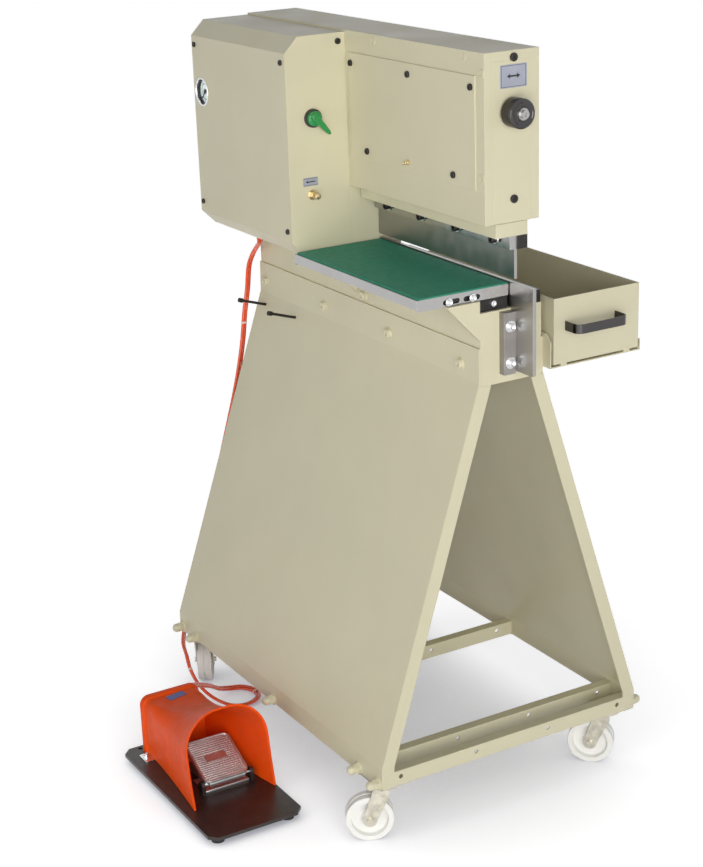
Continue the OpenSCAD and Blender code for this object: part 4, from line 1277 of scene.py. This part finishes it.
@dataclass
class Drawer:
    """Sheet drawer with its polished strap handle, on its cradle."""

    handle_x: float = 86.0
    handle_w: float = 99.0
    handle_z: float = 828.0
    handle_h: float = 15.0
    front: float = -22.0
    reach: float = 34.0

    def dress(self) -> None:
        """Paints the sheet and bends the strap."""
        paint("drawer", Finishes.cream)
        paint("drawer_cradle", Finishes.cream)
        self.strap()

    def strap(self) -> None:
        """Strap with round bends, seated on the front."""
        bend, t = 12.0, 2.2
        outer = self.strap_line(bend, 0.0)
        inner = self.strap_line(bend - t, t)
        outline = outer + list(reversed(inner))
        form = prism(outline, self.handle_h).moved(self.handle_x, self.front, self.handle_z)
        make("drawer_strap", form, Dressing("drawer", Finishes.chrome_black, bevel_mm=0.5, crease=30,
                                           stands_for=("drawer_handle",)))

    def strap_line(self, bend: float, inset: float) -> list[Point2]:
        """Line of one face of the strap, from the left foot to the right.

        Args:
            bend: Radius of the bends.
            inset: Distance from the outer face.

        Returns:
            The points.
        """
        left, right, far = inset, self.handle_w - inset, inset - self.reach
        line = [(left, 0.0)]
        for first, cx in ((180, left + bend), (270, right - bend)):
            for k in range(7):
                angle = math.radians(first + 15 * k)
                line.append((cx + bend * math.cos(angle), far + bend + bend * math.sin(angle)))
        return line + [(right, 0.0)]


@dataclass
class FootPedal:
    """Base plate, feet, moulded guard, ribbed treadle and valve."""

    plate_top: float = 18.0
    mouth_foot: float = 258.0
    mouth_crown: float = 288.0
    rear_y: float = 456.0
    end_y: float = 501.0
    mouth_half: float = 79.0
    rear_half: float = 53.0
    mouth_h: float = 162.0
    rear_h: float = 106.0
    wall: float = 4.0
    pivot: tuple[float, float, float] = (-388.0, 304.0, 33.0)
    slope: float = 25.0
    pad_w: float = 86.0
    pad_l: float = 92.0

    def dress(self) -> None:
        """Gives the nodes their finish and builds the guard, the treadle and the bracket."""
        paint("pedal_base", Finishes.pedal_plate)
        paint("pedal_feet", Finishes.rubber)
        paint("pedal_valve", Finishes.aluminium)
        paint("pedal_pin", Finishes.nickel)
        self.guard()
        self.treadle()
        self.bracket()

    def arch(self, t: float, inset: float) -> list[Vector]:
        """One arch of the guard, from its left foot to its right foot.

        Args:
            t: 0 at the mouth, 1 at the rear.
            inset: Distance inwards from the outer face.

        Returns:
            The points of the arch.
        """
        open_share = 1 - t
        half = self.rear_half + (self.mouth_half - self.rear_half) * open_share ** 1.25 - inset
        height = self.rear_h + (self.mouth_h - self.rear_h) * open_share ** 1.9 - inset
        corner = max(14 + 54 * open_share ** 0.9 - inset, 6)
        middle = -401 + 7 * open_share
        flat = [(-half, 0.0), (-half, (height - corner) / 2)]
        for first, side in ((180, -1), (90, 1)):
            for k in range(11):
                angle = math.radians(first - 9 * k)
                flat.append((side * (half - corner) + corner * math.cos(angle),
                             height - corner + corner * math.sin(angle)))
        flat += [(half, (height - corner) / 2), (half, 0.0)]
        foot = self.mouth_foot + (self.rear_y - self.mouth_foot) * t
        crown = self.mouth_crown + (self.rear_y - self.mouth_crown) * t
        return [Vector((middle + x, foot + (crown - foot) * min(1, z / height) ** 0.8, self.plate_top + z))
                for x, z in flat]

    def guard(self) -> None:
        """Shell that flares to its mouth, the block behind it, its ridge and the bare label."""
        rings = []
        for k in range(13):
            t = k / 12
            rings.append(self.arch(t, 0.0) + list(reversed(self.arch(t, self.wall))))
        shell = capped(loft(rings), len(rings[0]))
        blocks = []
        for y, grow in ((self.rear_y - 1, 0.0), (484, 0.0), (488, 3.5), (498, 3.5), (self.end_y, 1.0)):
            ring = self.arch(1.0, -grow)
            blocks.append([Vector((p.x, y, p.z)) for p in ring])
        rear = capped(loft(blocks), len(blocks[0]))
        make("moulded_guard", merged([shell, rear]),
             Dressing("stand", Finishes.orange, bevel_mm=1.2, crease=35, stands_for=("pedal_guard",)))
        label = prism(rounded_box(36, 17, 1), 0.5).turned(Matrix.Rotation(0.2, 4, "Z"))
        make("guard_label", label.moved(-398, 470, self.plate_top + self.rear_h + 0.1),
             Dressing("stand", Finishes.blue_label))

    def treadle(self) -> None:
        """Cast pad with a raised rim, cross ribs, a bare field and its barrel on the pin."""
        tilt = Matrix.Translation(self.pivot) @ Matrix.Rotation(math.radians(self.slope), 4, "X")
        middle = self.pad_l / 2 - 4
        pad = prism(rounded_box(self.pad_w, self.pad_l, 13), 6.0, 1.5).moved(0, middle, 0)
        rim = [[Vector((x, y + middle, z)) for x, y in rounded_box(self.pad_w - w, self.pad_l - w, 13 - w / 2)]
               for w, z in ((0.4, 7.4), (0.8, 9.4), (5.0, 9.4), (5.6, 7.4))]
        forms = [pad, loft(rim)]
        reach = self.pad_w / 2 - 5
        pitch = 4.4
        for k in range(19):
            y = middle - self.pad_l / 2 + 6 + pitch * k
            inset = 4.0 if k in (0, 18) else 0.0
            spans = [(-reach + inset, reach - inset)]
            if 8 <= k <= 11:
                spans = [(-reach, -20.0), (20.0, reach)]
            for x0, x1 in spans:
                forms.append(block(x0, y, 7.4, x1, y + 1.8, 8.9))
        for k in range(13):
            x = -reach + 3 + 6 * k
            forms.append(block(x, middle - self.pad_l / 2 + 8, 7.4, x + 1.0, middle - 8, 8.4))
            forms.append(block(x, middle + 10, 7.4, x + 1.0, middle + self.pad_l / 2 - 8, 8.4))
        forms.append(prism(rounded_box(38, 15, 2), 1.0, 7.4).moved(0, middle + 1.5, 0))
        barrel = lathe([(3.4, -34), (6.4, -34), (6.4, 34), (3.4, 34), (3.4, -34)], 32)
        forms.append(barrel.turned(Facing.RIGHT.value))
        make("cast_treadle", merged(forms).turned(tilt),
             Dressing("treadle", Finishes.aluminium, bevel_mm=0.4, stands_for=("pedal_treadle",)))

    def bracket(self) -> None:
        """Cast base under the treadle, and the zinc bracket and screw at the guard's left rear."""
        x, y, _ = self.pivot
        top = self.plate_top
        base = block(x - 42, y - 4, top, x + 42, y + 46, top + 4)
        make("treadle_base", base, Dressing("stand", Finishes.aluminium, bevel_mm=0.8))
        tab = prism(rounded_box(22, 30, 3), 2.4).moved(-461, 470, top)
        screw = merged([washer(6, 1.2), socket_screw(4.6, 4.2).moved(0, 0, 1.2)]).moved(-463, 474, top + 2.4)
        make("guard_bracket", merged([tab, screw]), Dressing("stand", Finishes.nickel, bevel_mm=0.3))


def main() -> None:
    """Builds the studio and dresses the machine in order."""
    logging.basicConfig(level=logging.INFO, format="%(name)s: %(message)s")
    Studio().build()
    AirHose().build()
    Stand().dress()
    BaseAndTable().dress()
    Head().dress()
    Controls().dress()
    Drawer().dress()
    FootPedal().dress()
    Fasteners().build()


if __name__ == "__main__":
    main()
